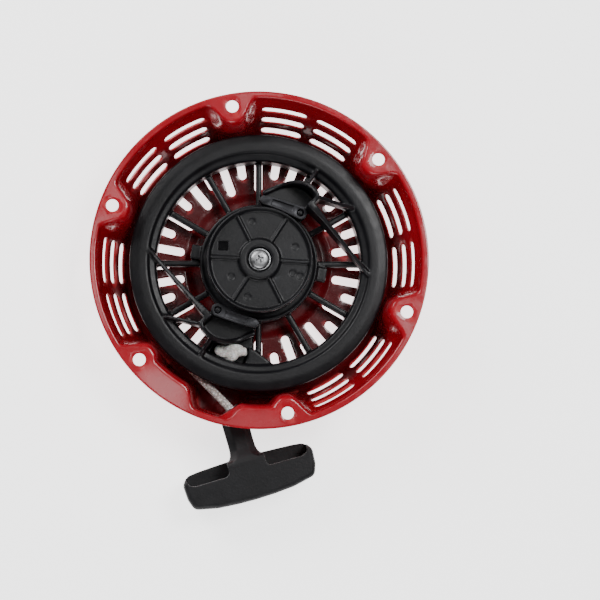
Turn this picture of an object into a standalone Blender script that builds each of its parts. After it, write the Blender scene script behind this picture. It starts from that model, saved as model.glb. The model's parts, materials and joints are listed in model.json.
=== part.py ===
"""Recoil starter: pressed case, rope reel on a centre post, ratchets, guide and T grip.

Sizes are in millimetres until a helper turns them into metres.  +Z points out of the open side.
The origin is on the closed face, at the reel's axis.
"""
import math

import bmesh
import bpy
import numpy as np
from mathutils import Matrix, Vector

MM = 0.001
GAP = 0.3

# Case
SHEET = 1.2
RIM_R = 107.5
FLANGE_Z = 48.0
FLANGE_INNER_R = 105.0
LIP_DROP = 3.0
HOLE_R = 4.0
HOLE_PITCH_R = 99.0
HOLE_ANGLE = 40.3
HOLE_COUNT = 6
SLOT_WIDTH = 5.3
SLOT_OUTER_R = 74.0
SLOT_INNER_R = (58.0, 49.0)
SLOT_STEP = 10.0
LOUVRE_SECTORS = (10.0, 70.0, 130.0, 190.0, 310.0)
LOUVRE_OFFSET = 10.5
LOUVRE_SPAN = 17.0
LOUVRE_WIDTH = 6.2
LOUVRE_ROWS = ((89.4, 6.8), (94.8, 17.0), (99.5, 28.0))
WALL_SLOPE = math.atan2(11.0, 5.0)

# Rope path
ROPE_R = 2.75
ROPE_HOLE_R = 3.3
ROPE_Z = 18.0
EYELET = Vector((-17.6, -94.7, ROPE_Z))
ROPE_LEAVES = Vector((0.695, -0.719, 0.0))
FACET_ANGLE = 302.0
PULL = Vector((0.278, -0.961, 0.0)).normalized()
ACROSS = Vector((-PULL.y, PULL.x, 0.0))
GRIP_START = 13.0

# Reel
REEL_R = 83.3
REEL_TOP = 28.0
CORE_R = 68.5
GROOVE_BOTTOM = 12.0
GROOVE_TOP = 24.5
WINDING_R = 75.8
REEL_KNOT = (-18.3, -57.5, 18.0)
REEL_KNOT_HALF = (8.8, 4.7, 5.0)
HUB_R = 38.0
HUB_FLOOR = (20.0, 22.5)
REEL_BORE_R = 7.4
TUBE_R = 10.5
TUBE_TOP = 33.6
SPOKES = 12
SPOKE_WIDTH = 3.0
SPOKE_Z = (10.4, 17.5)
LUG_ANGLES = (-10.0, 170.0)
SPRING_TURNS = 5
SPRING_RADII = (12.4, 33.6)
SPRING_STRIP = 0.8
SPRING_Z = (6.2, 17.2)

# Stack on the axis
POST_R = 7.0
POST_FOOT_R = 12.0
POST_SHOULDER = 33.7
POST_TIP_R = 5.0
POST_TOP = 43.2
GUIDE_R = 33.5
GUIDE_TOP = 47.0
GUIDE_BOSS_R = 13.0
GUIDE_FLOOR = (40.0, 42.5)
GUIDE_RIB_ANGLE = 57.0
GUIDE_WINDOW = (159.5, 24.6)
SCREW_R = 2.5
SCREW_HEAD_R = 7.1
SCREW_HEAD_TOP = 47.6

# Ratchets
RATCHET_PIVOT = Vector((26.4, 31.4, 0.0))
RATCHET_TIP = Vector((1.4, 40.0, 0.0))
RATCHET_Z = (24.6, 33.4)
PIN_R = 2.0
RATCHET_WIRE_R = 0.25

# Grip, along the pull (s) and across it (t)
BAR_HALF = 41.5
BAR_NEAR = 18.5
BAR_FAR = 46.5
BAR_Z = (5.0, 31.0)
STEM_Z = (8.5, 27.5)
CHAMBER_HALF = 7.6
CHAMBER_ALONG = (19.0, 37.0)
INSERT_SIZE = 13.6
INSERT_ALONG = 20.0
KNOT_ALONG = 27.4


# ---------------------------------------------------------------- helpers

def clear_scene():
    for obj in list(bpy.data.objects):
        bpy.data.objects.remove(obj, do_unlink=True)


def collection(name):
    group = bpy.data.collections.new(name)
    bpy.context.scene.collection.children.link(group)
    return group


def material(name, colour, roughness, metallic=0.0):
    mat = bpy.data.materials.new(name)
    mat.use_nodes = True
    shader = mat.node_tree.nodes["Principled BSDF"]
    shader.inputs["Base Color"].default_value = (*colour, 1.0)
    shader.inputs["Roughness"].default_value = roughness
    shader.inputs["Metallic"].default_value = metallic
    mat.diffuse_color = (*colour, 1.0)
    return mat


def add_mesh(name, mesh, group=None):
    obj = bpy.data.objects.new(name, mesh)
    (group or CUTTERS).objects.link(obj)
    if group is None:
        obj.hide_render = True
        obj.display_type = "WIRE"
    return obj


def mesh_from_bmesh(name, bm):
    bmesh.ops.recalc_face_normals(bm, faces=bm.faces)
    mesh = bpy.data.meshes.new(name)
    bm.to_mesh(mesh)
    bm.free()
    return mesh


def finish(obj, mat, sharp_angle=35.0):
    """Give a visible piece its material and smooth shading."""
    obj.data.materials.clear()
    obj.data.materials.append(mat)
    obj.data.shade_smooth()
    obj.data.set_sharp_from_angle(angle=math.radians(sharp_angle))
    return obj


def boolean(obj, operand, operation="DIFFERENCE"):
    mod = obj.modifiers.new(operand.name, "BOOLEAN")
    mod.operation = operation
    mod.object = operand
    mod.solver = "EXACT"


def turned(name, profile, steps=48, group=None):
    """Turn a closed (radius, z) outline about Z."""
    mesh = bpy.data.meshes.new(name)
    points = [(r * MM, 0.0, z * MM) for r, z in profile]
    edges = [(i, (i + 1) % len(points)) for i in range(len(points))]
    mesh.from_pydata(points, edges, [])
    obj = add_mesh(name, mesh, group)
    screw = obj.modifiers.new("turn", "SCREW")
    screw.steps = steps
    screw.render_steps = steps
    screw.use_merge_vertices = True
    screw.merge_threshold = 0.00001
    screw.use_normal_calculate = True
    return obj


def turned_mesh(name, profile, steps=48, group=None):
    """The same turned shape as plain faces, with its faces pointing out."""
    source = turned(name + "_outline", profile, steps)
    mesh = evaluated_mesh(source, name)
    bm = bmesh.new()
    bm.from_mesh(mesh)
    bpy.data.meshes.remove(mesh)
    bpy.data.objects.remove(source, do_unlink=True)
    return add_mesh(name, mesh_from_bmesh(name, bm), group)


def evaluated_mesh(obj, name):
    bpy.context.view_layer.update()
    graph = bpy.context.evaluated_depsgraph_get()
    mesh = bpy.data.meshes.new_from_object(obj.evaluated_get(graph))
    mesh.name = name
    return mesh


def curve_to_mesh(curve, name, group=None):
    """Turn a curve object into a welded, closed mesh object."""
    mesh = evaluated_mesh(curve, name)
    bm = bmesh.new()
    bm.from_mesh(mesh)
    bpy.data.meshes.remove(mesh)
    bmesh.ops.remove_doubles(bm, verts=bm.verts, dist=0.000002)
    obj = add_mesh(name, mesh_from_bmesh(name, bm), group)
    obj.matrix_world = curve.matrix_world
    bpy.data.objects.remove(curve, do_unlink=True)
    return obj


def plate(name, outlines, low, high, group=None):
    """Extrude flat outlines between two heights.  A second outline inside the first is a hole."""
    curve = bpy.data.curves.new(name + "_curve", "CURVE")
    curve.dimensions = "2D"
    curve.fill_mode = "BOTH"
    curve.extrude = (high - low) / 2 * MM
    for outline in outlines:
        spline = curve.splines.new("POLY")
        spline.points.add(len(outline) - 1)
        for point, xy in zip(spline.points, outline):
            point.co = (xy[0] * MM, xy[1] * MM, 0.0, 1.0)
        spline.use_cyclic_u = True
    obj = bpy.data.objects.new(name + "_curve", curve)
    obj.location.z = (low + high) / 2 * MM
    CUTTERS.objects.link(obj)
    return curve_to_mesh(obj, name, group)


def wire(name, points, radius, group=None, resolution=2):
    curve = bpy.data.curves.new(name + "_curve", "CURVE")
    curve.dimensions = "3D"
    curve.bevel_depth = radius * MM
    curve.bevel_resolution = resolution
    curve.use_fill_caps = True
    spline = curve.splines.new("POLY")
    spline.points.add(len(points) - 1)
    for point, place in zip(spline.points, points):
        point.co = (place[0] * MM, place[1] * MM, place[2] * MM, 1.0)
    obj = bpy.data.objects.new(name + "_curve", curve)
    CUTTERS.objects.link(obj)
    return curve_to_mesh(obj, name, group)


def box(name, low, high, group=None):
    bm = bmesh.new()
    bmesh.ops.create_cube(bm, size=1.0)
    size = Vector(high) - Vector(low)
    centre = (Vector(high) + Vector(low)) / 2
    bmesh.ops.scale(bm, vec=size * MM, verts=bm.verts)
    bmesh.ops.translate(bm, vec=centre * MM, verts=bm.verts)
    return add_mesh(name, mesh_from_bmesh(name, bm), group)


def cylinders(name, places, radius, low, high, segments=20, group=None):
    """Upright cylinders at the given (x, y) places, in one mesh."""
    bm = bmesh.new()
    for x, y in places:
        centre = Vector((x, y, (low + high) / 2)) * MM
        bmesh.ops.create_cone(bm, cap_ends=True, segments=segments, radius1=radius * MM,
                              radius2=radius * MM, depth=(high - low) * MM,
                              matrix=Matrix.Translation(centre))
    return add_mesh(name, mesh_from_bmesh(name, bm), group)


def loft(bm, rings, cap=True):
    """Join rings of equal length with quads, and close both ends."""
    rows = [[bm.verts.new(Vector(p) * MM) for p in ring] for ring in rings]
    count = len(rows[0])
    for low, high in zip(rows, rows[1:]):
        for i in range(count):
            j = (i + 1) % count
            bm.faces.new((low[i], low[j], high[j], high[i]))
    if cap:
        bm.faces.new(rows[0])
        bm.faces.new(rows[-1])
    return rows


def polar(angle, radius, z=0.0):
    a = math.radians(angle)
    return Vector((radius * math.cos(a), radius * math.sin(a), z))


def arc(centre, radius, start, end, count):
    return [(centre[0] + radius * math.cos(math.radians(a)),
             centre[1] + radius * math.sin(math.radians(a)))
            for a in np.linspace(start, end, count)]


def ribbon(bm, points, thickness):
    """A wall along (x, y, bottom, top) points, with mitred corners."""
    flat = [Vector((p[0], p[1])) for p in points]
    rings = []
    for i, p in enumerate(points):
        before = (flat[i] - flat[i - 1]).normalized() if i else None
        after = (flat[i + 1] - flat[i]).normalized() if i < len(points) - 1 else None
        along = ((before or after) + (after or before)).normalized()
        normal = Vector((-along.y, along.x))
        side = Vector((-(after or before).y, (after or before).x))
        half = (p[4] if len(p) > 4 else thickness) / 2
        reach = half / max(0.5, normal.dot(side))
        left = flat[i] + normal * reach
        right = flat[i] - normal * reach
        rings.append([(left.x, left.y, p[2]), (right.x, right.y, p[2]),
                      (right.x, right.y, p[3]), (left.x, left.y, p[3])])
    loft(bm, rings)


def half_turn(points):
    return [(-p[0], -p[1], *p[2:]) for p in points]


def align(axis):
    """Rotation that carries +Z onto the given direction."""
    return axis.to_track_quat("Z", "Y").to_matrix().to_4x4()


def grip_place(along, across=0.0, z=ROPE_Z):
    """A point given by its distance from the eyelet along the pull, and across it."""
    flat = EYELET + PULL * (along + GRIP_START) + ACROSS * across
    return Vector((flat.x, flat.y, z))


# ---------------------------------------------------------------- case

CASE_ROWS = (
    (8.0, 1.2), (44.0, 1.2), (48.0, 3.0), (76.0, 3.0), (80.0, 1.2), (84.9, 1.2),
    (89.4, 6.0), (94.8, 17.0), (99.5, 28.0), (102.3, 40.0), (103.6, 46.4),
    (FLANGE_INNER_R, FLANGE_Z), (106.8, FLANGE_Z), (RIM_R, FLANGE_Z - 0.8),
    (RIM_R, FLANGE_Z - LIP_DROP),
)
LOBE_HEIGHTS = (6.0, 28.0, 40.0, 46.4, 48.0)
LOBE_RADII = (13.3, 13.3, 12.6, 11.2, 9.5)
LEDGE_DEPTH = 0.85
FACET_START = 255.0
FACET_END = 264.0
LEDGES = ((HOLE_ANGLE + 180, 238.0, 101.0), (FACET_END, HOLE_ANGLE + 240, 102.5))
BAY = (246.0, 262.0)
BAY_R = 101.0


def angle_gap(angle, start, end):
    """Degrees by which an angle lies outside an arc."""
    middle = (start + end) / 2
    off = abs((angle - middle + 180) % 360 - 180)
    return max(0.0, off - (end - start) / 2)


def smooth(x):
    x = min(1.0, max(0.0, x))
    return x * x * (3 - 2 * x)


def case_radius(angle, radius, z):
    """Inner radius of the case wall at one angle and height."""
    if z < 2.0 or radius < 85.0 or radius > FLANGE_INNER_R + 0.5:
        return radius
    lobe = float(np.interp(z, LOBE_HEIGHTS, LOBE_RADII))
    wall = radius
    bay = smooth((angle - BAY[0] + 3) / 3) * smooth((BAY[1] - angle + 3) / 3)
    if z < 40.0:
        wall += bay * max(0.0, BAY_R - radius)
    result = wall
    width = math.degrees((lobe + 5.0) / HOLE_PITCH_R)
    for k in range(HOLE_COUNT):
        middle = HOLE_ANGLE + 60.0 * k
        off = angle_gap(angle, middle, middle)
        if off < width:
            dent = max(0.0, wall - (HOLE_PITCH_R - lobe))
            bump = math.cos(math.pi / 2 * (off / width) ** 1.5) ** 2
            result = min(result, wall - dent * bump)
    for start, end, centre_r in LEDGES:
        off = angle_gap(angle, start, end)
        inner = centre_r - LEDGE_DEPTH * lobe
        if off < width and not (start == FACET_END and angle < start):
            bump = math.cos(math.pi / 2 * (off / width) ** 1.5) ** 2
            result = min(result, wall - max(0.0, wall - inner) * bump)
    if FACET_START < angle < FACET_END:
        normal = polar(FACET_ANGLE, 1.0)
        plane = normal.dot(Vector((EYELET.x, EYELET.y, 0.0)))
        facet = plane / math.cos(math.radians(angle - FACET_ANGLE))
        result = min(result, max(facet, LEDGES[1][2] - LEDGE_DEPTH * lobe))
    return result


def case_angles():
    """Wall directions, closer together round the lobes and the rope bay."""
    angles = []
    for k in range(120):
        angle = HOLE_ANGLE + 3.0 * k
        near_lobe = min(k % 20, 20 - k % 20) <= 3
        in_bay = 235.0 < angle % 360 < 275.0
        if near_lobe or in_bay or k % 20 in (5, 8, 12, 15):
            angles.append(angle % 360)
    return angles


def make_case():
    bm = bmesh.new()
    angles = case_angles()
    rings = []
    for radius, z in CASE_ROWS:
        rings.append([polar(a, case_radius(a, radius, z), z) for a in angles])
    rows = loft(bm, rings, cap=False)
    bm.faces.new(rows[0])
    mesh = bpy.data.meshes.new("case_shell")
    bmesh.ops.recalc_face_normals(bm, faces=bm.faces)
    if next(f for f in bm.faces if len(f.verts) > 4).normal.z < 0:
        bmesh.ops.reverse_faces(bm, faces=bm.faces)
    bm.to_mesh(mesh)
    bm.free()
    case = add_mesh("case_shell", mesh, PARTS)
    solid = case.modifiers.new("sheet", "SOLIDIFY")
    solid.thickness = SHEET * MM
    solid.offset = -1.0
    solid.use_even_offset = True
    boolean(case, face_slots())
    boolean(case, louvres())
    holes = [polar(HOLE_ANGLE + 60 * k, HOLE_PITCH_R).xy for k in range(HOLE_COUNT)]
    boolean(case, cylinders("bolt_holes", holes, HOLE_R, FLANGE_Z - 6, FLANGE_Z + 3, 16))
    boolean(case, eyelet_hole())
    return finish(case, RED)


def face_slots():
    outlines = []
    half = SLOT_WIDTH / 2
    for k in range(36):
        angle = SLOT_STEP * k
        inner = SLOT_INNER_R[k % 2]
        local = arc((inner + half, 0), half, 270, 90, 5) + [(SLOT_OUTER_R, half), (SLOT_OUTER_R, -half)]
        turn = Matrix.Rotation(math.radians(angle), 2)
        outlines.append([turn @ Vector(p) for p in local])
    return plate("face_slots", outlines, -1.0, 5.0)


def louvres():
    """Slots through the slanted wall, cut square to it."""
    bm = bmesh.new()
    along = Vector((math.cos(WALL_SLOPE), math.sin(WALL_SLOPE))) * LOUVRE_WIDTH / 2
    through = Vector((math.sin(WALL_SLOPE), -math.cos(WALL_SLOPE))) * 4.0
    for sector in LOUVRE_SECTORS:
        for side in (-LOUVRE_OFFSET, LOUVRE_OFFSET):
            for radius, z in LOUVRE_ROWS:
                centre = Vector((radius, z))
                section = [centre + along + through, centre + along - through,
                           centre - along - through, centre - along + through]
                start = sector + side - LOUVRE_SPAN / 2
                rings = [[polar(start + LOUVRE_SPAN * i / 3, p.x, p.y) for p in section] for i in range(4)]
                loft(bm, rings)
    return add_mesh("louvre_slots", mesh_from_bmesh("louvre_slots", bm))


def eyelet_hole():
    bm = bmesh.new()
    axis = polar(FACET_ANGLE, 1.0)
    place = Matrix.Translation(EYELET * MM) @ align(axis)
    bmesh.ops.create_cone(bm, cap_ends=True, segments=16, radius1=4.75 * MM, radius2=4.75 * MM,
                          depth=7 * MM, matrix=place)
    return add_mesh("eyelet_hole", mesh_from_bmesh("eyelet_hole", bm))


def make_eyelet():
    profile = [(3.7, -1.2), (5.6, -1.2), (5.6, -0.4), (4.45, -0.4),
               (4.45, 1.7), (5.4, 1.7), (5.4, 2.5), (3.7, 2.5)]
    eyelet = turned_mesh("rope_eyelet", profile, 16, PARTS)
    eyelet.matrix_world = Matrix.Translation(EYELET * MM) @ align(polar(FACET_ANGLE, 1.0))
    return finish(eyelet, STEEL)


def make_post():
    """A stepped post on a round foot, drilled from the top for the screw."""
    foot, foot_top = SHEET + GAP, SHEET + GAP + 2.0
    outline = [(0.0, foot), (POST_FOOT_R, foot), (POST_FOOT_R, foot_top), (POST_R, foot_top),
               (POST_R, POST_SHOULDER), (POST_TIP_R, POST_SHOULDER), (POST_TIP_R, POST_TOP),
               (SCREW_R + 0.4, POST_TOP), (SCREW_R + 0.4, 12.0), (0.0, 12.0)]
    return finish(open_turned("centre_post", outline, 24), STEEL)


def open_turned(name, outline, steps):
    """Turn an outline whose two ends lie on the axis."""
    bm = bmesh.new()
    rings = []
    for radius, z in outline[1:-1]:
        rings.append([polar(360 * i / steps, radius, z) for i in range(steps)])
    loft(bm, rings)
    return add_mesh(name, mesh_from_bmesh(name, bm), PARTS)


def make_washer():
    outline = [(5.3, 34.0), (12.0, 34.0), (12.0, 34.9), (5.3, 34.9)]
    return finish(turned_mesh("thrust_washer", outline, 24, PARTS), STEEL)


def make_screw():
    under, top = POST_TOP + GAP, SCREW_HEAD_TOP
    outline = [(0.0, 14.0), (SCREW_R, 14.0), (SCREW_R, under), (SCREW_HEAD_R - 0.6, under),
               (SCREW_HEAD_R, under + 0.6), (SCREW_HEAD_R, top - 1.0), (SCREW_HEAD_R - 1.0, top),
               (3.4, top), (2.8, top - 2.0), (0.0, top - 2.0)]
    return finish(open_turned("centre_screw", outline, 20), ZINC)


# ---------------------------------------------------------------- reel

# Walls as (x, y, bottom, top) points.  A fifth number is the wall's own thickness there.
WING = (
    (2.4, 45.4, 19.0, 24.0), (14.0, 50.5, 19.0, 24.1), (22.5, 51.4, 19.0, 33.0),
    (29.9, 49.2, 19.0, 41.0), (35.3, 44.4, 19.0, 45.5), (37.2, 40.2, 19.0, 46.0),
)
WING_HOOK = ((37.2, 40.2, 19.3, 45.4), (32.6, 35.8, 19.3, 45.4))
WING_BAR = (
    (31.5, 36.7, 19.0, 45.6, 4.4), (35.0, 33.0, 19.0, 45.2, 4.4), (42.0, 25.5, 19.0, 42.0, 3.0),
    (57.6, 9.0, 19.0, 33.5, 2.6), (66.6, -0.6, 19.0, 28.9, 2.6), (67.1, -1.2, 25.3, 28.6, 2.6),
    (70.4, -4.7, 25.3, 27.7, 2.6),
)
WING_RIBS = (
    ((30.2, 49.0, 18.0, 40.0), (35.0, 56.4, 18.0, 30.0), (35.4, 57.0, 25.3, 29.4),
     (37.4, 60.1, 25.3, 27.7)),
    ((37.4, 40.9, 18.2, 42.0), (55.8, 36.3, 18.2, 31.0), (56.4, 36.2, 25.3, 30.7),
     (61.0, 35.2, 25.3, 27.7)),
)
WALL = 2.6


def make_reel():
    hub = [(REEL_BORE_R, 4.8), (TUBE_R, 4.8), (TUBE_R, HUB_FLOOR[0]), (HUB_R - 2.5, HUB_FLOOR[0]),
           (HUB_R - 2.5, 4.8), (HUB_R, 4.8), (HUB_R, HUB_FLOOR[1]), (TUBE_R, HUB_FLOOR[1]),
           (TUBE_R, TUBE_TOP), (REEL_BORE_R, TUBE_TOP)]
    reel = turned_mesh("reel", hub, 36, PARTS)
    ring = [(66.0, 9.5), (82.0, 9.5), (82.0, GROOVE_BOTTOM), (CORE_R, GROOVE_BOTTOM),
            (CORE_R, GROOVE_TOP), (REEL_R, GROOVE_TOP), (REEL_R, REEL_TOP - 0.8),
            (REEL_R - 0.8, REEL_TOP), (71.2, REEL_TOP), (70.5, 26.5), (66.0, 26.5)]
    boolean(reel, spokes(), "UNION")
    boolean(reel, turned_mesh("reel_ring", ring, 48), "UNION")
    boolean(reel, pocket_floors(), "UNION")
    for name, build in (("reel_wings", WING), ("reel_bars", WING_BAR), ("reel_hooks", WING_HOOK)):
        bm = bmesh.new()
        ribbon(bm, build, WALL)
        ribbon(bm, half_turn(build), WALL)
        boolean(reel, add_mesh(name, mesh_from_bmesh(name, bm)), "UNION")
    bm = bmesh.new()
    for rib in WING_RIBS:
        ribbon(bm, rib, 2.2)
        ribbon(bm, half_turn(rib), 2.2)
    boolean(reel, add_mesh("reel_ribs", mesh_from_bmesh("reel_ribs", bm)), "UNION")
    pins = [RATCHET_PIVOT.xy, -RATCHET_PIVOT.xy]
    boolean(reel, cylinders("ratchet_pins", pins, PIN_R, 21.0, 33.0, 12), "UNION")
    block = [(-6.0, -55.0), (-2.0, -56.5), (12.0, -67.4), (-9.5, -67.0)]
    boolean(reel, plate("knot_block", [block], 10.2, 21.4), "UNION")
    return finish(reel, BLACK)


def spokes():
    bm = bmesh.new()
    for k in range(SPOKES):
        angle = 360 / SPOKES * k
        start, end = polar(angle, HUB_R - 1.2), polar(angle, CORE_R - 1.5)
        ribbon(bm, [(start.x, start.y, *SPOKE_Z), (end.x, end.y, *SPOKE_Z)], SPOKE_WIDTH)
    for angle in LUG_ANGLES:
        start, end = polar(angle, 37.0), polar(angle, 43.0)
        ribbon(bm, [(start.x, start.y, 12.4, 21.0), (end.x, end.y, 12.4, 21.0)], 7.0)
    return add_mesh("reel_spokes", mesh_from_bmesh("reel_spokes", bm))


def pocket_floors():
    edge = [(p[0], p[1]) for p in WING]
    edge.append((31.0, 31.2))
    inner = arc((0, 0), 36.4, 46, 87, 6)
    outline = edge + inner
    return plate("pocket_floors", [outline, [(-x, -y) for x, y in outline]], 19.4, 22.0)


def make_winding():
    outline = [(CORE_R + GAP, 12.4), (WINDING_R, 12.4), (WINDING_R, 24.1), (CORE_R + GAP, 24.1)]
    return finish(turned_mesh("rope_winding", outline, 48, PARTS), ROPE)


def ellipsoid(name, centre, size, mat):
    bm = bmesh.new()
    bmesh.ops.create_uvsphere(bm, u_segments=12, v_segments=6, radius=1.0)
    bmesh.ops.scale(bm, vec=Vector(size) * MM, verts=bm.verts)
    obj = add_mesh(name, mesh_from_bmesh(name, bm), PARTS)
    obj.location = Vector(centre) * MM
    return finish(obj, mat)


def make_recoil_spring():
    """A flat strip wound outwards in the cup under the reel."""
    low, high = SPRING_Z
    half = SPRING_STRIP / 2
    count = 16 * SPRING_TURNS
    bm = bmesh.new()
    rings = []
    for i in range(count + 1):
        a = 360 / 16 * i
        r = SPRING_RADII[0] + (SPRING_RADII[1] - SPRING_RADII[0]) * i / count
        rings.append([polar(a, r - half, low), polar(a, r + half, low),
                      polar(a, r + half, high), polar(a, r - half, high)])
    loft(bm, rings)
    return finish(add_mesh("recoil_spring", mesh_from_bmesh("recoil_spring", bm), PARTS), STEEL)


def make_ratchet(name, turn):
    """A pawl that swings about its eye."""
    pivot, tip = RATCHET_PIVOT.xy, RATCHET_TIP.xy
    heading = math.degrees(math.atan2(tip.y - pivot.y, tip.x - pivot.x))
    along = (tip - pivot).normalized()
    out = Vector((along.y, -along.x))
    reach = (tip - pivot).length
    eye = arc(pivot, 4.3, heading - 100, heading - 260, 9)
    arm = [pivot + along * reach * 0.55 + out * 4.0, tip + out * 3.0, tip + along * 1.6 - out * 0.6,
           tip - along * 1.5 - out * 2.6, pivot + along * reach * 0.5 - out * 2.6]
    outline = [Vector(p) for p in eye]
    if (outline[-1] - pivot).dot(out) < 0:
        arm.reverse()
    outline += arm
    hole = arc(pivot, PIN_R + GAP, 0, 330, 12)
    if turn:
        outline = [-p for p in outline]
        hole = [(-x, -y) for x, y in hole]
    return finish(plate(name, [outline, hole], *RATCHET_Z, PARTS), DARK_STEEL)


def make_ratchet_spring(name, turn):
    """Two coils round the pin under the ratchet, and a leg along it."""
    heading = RATCHET_TIP - RATCHET_PIVOT
    first = math.degrees(math.atan2(heading.y, heading.x)) - 90
    points = []
    for i in range(17):
        p = polar(first + 45 * i, 3.1) + RATCHET_PIVOT
        points.append((p.x, p.y, 23.0 + 0.07 * i))
    points.append(tuple(Vector(points[-1]) + heading.normalized() * 9))
    if turn:
        points = half_turn(points)
    return finish(wire(name, points, RATCHET_WIRE_R, PARTS), STEEL)


# ---------------------------------------------------------------- guide

def make_guide():
    """A shallow cup with a boss for the screw head and a friction spring round its stem."""
    under, floor = GUIDE_FLOOR
    bore, seat = POST_TIP_R + 0.4, SCREW_HEAD_R + 0.8
    wall = GUIDE_R - 2.2
    outline = [(bore, 35.2), (GUIDE_BOSS_R, 35.2), (GUIDE_BOSS_R, under), (wall, under),
               (wall, 36.0), (GUIDE_R, 36.0), (GUIDE_R, GUIDE_TOP - 0.7), (GUIDE_R - 0.7, GUIDE_TOP),
               (wall + 0.3, GUIDE_TOP), (wall - 0.3, floor), (GUIDE_BOSS_R, floor),
               (GUIDE_BOSS_R - 0.6, 46.5), (seat, 46.5), (seat, 43.4), (bore, 43.4)]
    guide = turned_mesh("ratchet_guide", outline, 36, PARTS)
    bm = bmesh.new()
    for k in range(6):
        angle = GUIDE_RIB_ANGLE + 60.0 * k
        start, end = polar(angle, 12.2), polar(angle, 31.8)
        ribbon(bm, [(start.x, start.y, 41.5, 45.8), (end.x, end.y, 41.5, 45.2)], 1.8)
    boolean(guide, add_mesh("guide_ribs", mesh_from_bmesh("guide_ribs", bm)), "UNION")
    centre = polar(*GUIDE_WINDOW)
    window = box("guide_window", (centre.x - 3, centre.y - 3, 38.0), (centre.x + 3, centre.y + 3, 44.0))
    boolean(guide, window)
    return finish(guide, BLACK)


def make_friction_spring():
    ring = [(*xy, 28.0) for xy in arc((0, 0), 12.2, 30, 330, 15)]
    end_a = polar(330, 15.2)
    start_a = polar(30, 15.2)
    points = [(start_a.x, start_a.y, 39.6), (start_a.x, start_a.y, 28.0)] + ring
    points += [(end_a.x, end_a.y, 28.0), (end_a.x, end_a.y, 39.6)]
    return finish(wire("friction_spring", points, 0.6, PARTS), STEEL)


# ---------------------------------------------------------------- rope and grip

def make_rope_runs():
    """The straight run from the reel to the eyelet, and the run from there into the grip."""
    away = Vector((-ROPE_LEAVES.y, ROPE_LEAVES.x, 0.0)).normalized()
    start = away * -(WINDING_R + ROPE_R + GAP)
    start.z = ROPE_Z
    heading = (EYELET - start).normalized()
    inner = wire("rope_inner_run", [start, EYELET - heading * 1.0], ROPE_R, PARTS, 4)
    outer = wire("rope_outer_run", [EYELET + PULL * 1.0, grip_place(21.2)], ROPE_R, PARTS, 4)
    return finish(inner, ROPE), finish(outer, ROPE)


def place_grip_outline(points):
    return [grip_place(s, t).xy for t, s in points]


def bar_outline():
    """Half of the bar's plan, then its mirror image."""
    side = [(0.0, BAR_NEAR), (12.0, BAR_NEAR), (30.0, 19.6), (37.5, 20.6), (40.6, 23.0),
            (BAR_HALF, 27.0), (40.9, 35.0), (39.4, 40.0), (36.5, 42.6), (24.0, 45.2), (12.0, 46.2)]
    other = [(-t, s) for t, s in reversed(side[1:])]
    return side + [(0.0, BAR_FAR)] + other


def make_grip():
    grip = plate("grip", [place_grip_outline(bar_outline())], *BAR_Z, PARTS)
    bevel = grip.modifiers.new("edges", "BEVEL")
    bevel.width = 2.2 * MM
    bevel.segments = 2
    bevel.limit_method = "ANGLE"
    bevel.angle_limit = math.radians(50)
    stem = [(8.25, -7.0), (7.5, 14.0), (9.5, 20.5), (-9.5, 20.5), (-7.5, 14.0), (-8.25, -7.0)]
    boolean(grip, plate("grip_stem", [place_grip_outline(stem)], *STEM_Z), "UNION")
    pockets = []
    lips = []
    for side in (1, -1):
        pocket = [(11.5, 14.0), (38.0, 14.0), (38.6, 28.0), (37.0, 38.5), (24.0, 41.6), (11.5, 42.4)]
        lip = [(12.0, 14.0), (38.3, 14.0), (38.7, 22.5), (37.2, 26.6), (34.5, 27.6), (12.0, 27.6)]
        pockets.append(place_grip_outline([(side * t, s) for t, s in pocket]))
        lips.append(place_grip_outline([(side * t, s) for t, s in lip]))
    boolean(grip, plate("grip_pockets", pockets, BAR_Z[0] + 2.8, BAR_Z[1] - 2.8))
    boolean(grip, plate("grip_lips", lips, BAR_Z[1] - 3.2, BAR_Z[1] + 3.0))
    near, far = CHAMBER_ALONG
    corners = [(-CHAMBER_HALF, near), (CHAMBER_HALF, near), (CHAMBER_HALF, far), (-CHAMBER_HALF, far)]
    chamber = place_grip_outline(corners)
    boolean(grip, plate("grip_chamber", [chamber], BAR_Z[0] - 3.0, 25.2))
    boolean(grip, wire("grip_bore", [grip_place(-12.0), grip_place(22.0)], ROPE_HOLE_R, None, 4))
    return finish(grip, GRIP_BLACK)


def make_grip_insert():
    """A square plate across the chamber, under the rope's knot."""
    half = INSERT_SIZE / 2
    insert = box("grip_insert", (-half, -half, -0.6), (half, half, 0.6), PARTS)
    insert.matrix_world = Matrix.Translation(grip_place(INSERT_ALONG) * MM) @ align(PULL)
    bore = [grip_place(INSERT_ALONG - 3), grip_place(INSERT_ALONG + 3)]
    boolean(insert, wire("insert_hole", bore, ROPE_HOLE_R - 0.1, None, 4))
    return finish(insert, STEEL)


# ---------------------------------------------------------------- assembly

def pivot(name, place, children):
    """An empty on a joint's axis, with the pieces that it carries."""
    empty = bpy.data.objects.new(name, None)
    empty.location = Vector(place) * MM
    empty.empty_display_size = 0.01
    PARTS.objects.link(empty)
    bpy.context.view_layer.update()
    for child in children:
        child.parent = empty
        child.matrix_parent_inverse = empty.matrix_world.inverted()
    return empty


clear_scene()
PARTS = collection("recoil_starter")
CUTTERS = collection("cutters")
RED = material("red_enamel", (0.52, 0.012, 0.018), 0.25)
BLACK = material("black_nylon", (0.028, 0.028, 0.030), 0.55)
GRIP_BLACK = material("black_grip", (0.022, 0.022, 0.024), 0.5)
STEEL = material("plain_steel", (0.45, 0.45, 0.46), 0.35, 1.0)
DARK_STEEL = material("dark_steel", (0.06, 0.06, 0.065), 0.45, 0.6)
ZINC = material("zinc_plate", (0.72, 0.73, 0.75), 0.3, 1.0)
ROPE = material("white_cord", (0.74, 0.68, 0.62), 0.85)

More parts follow.
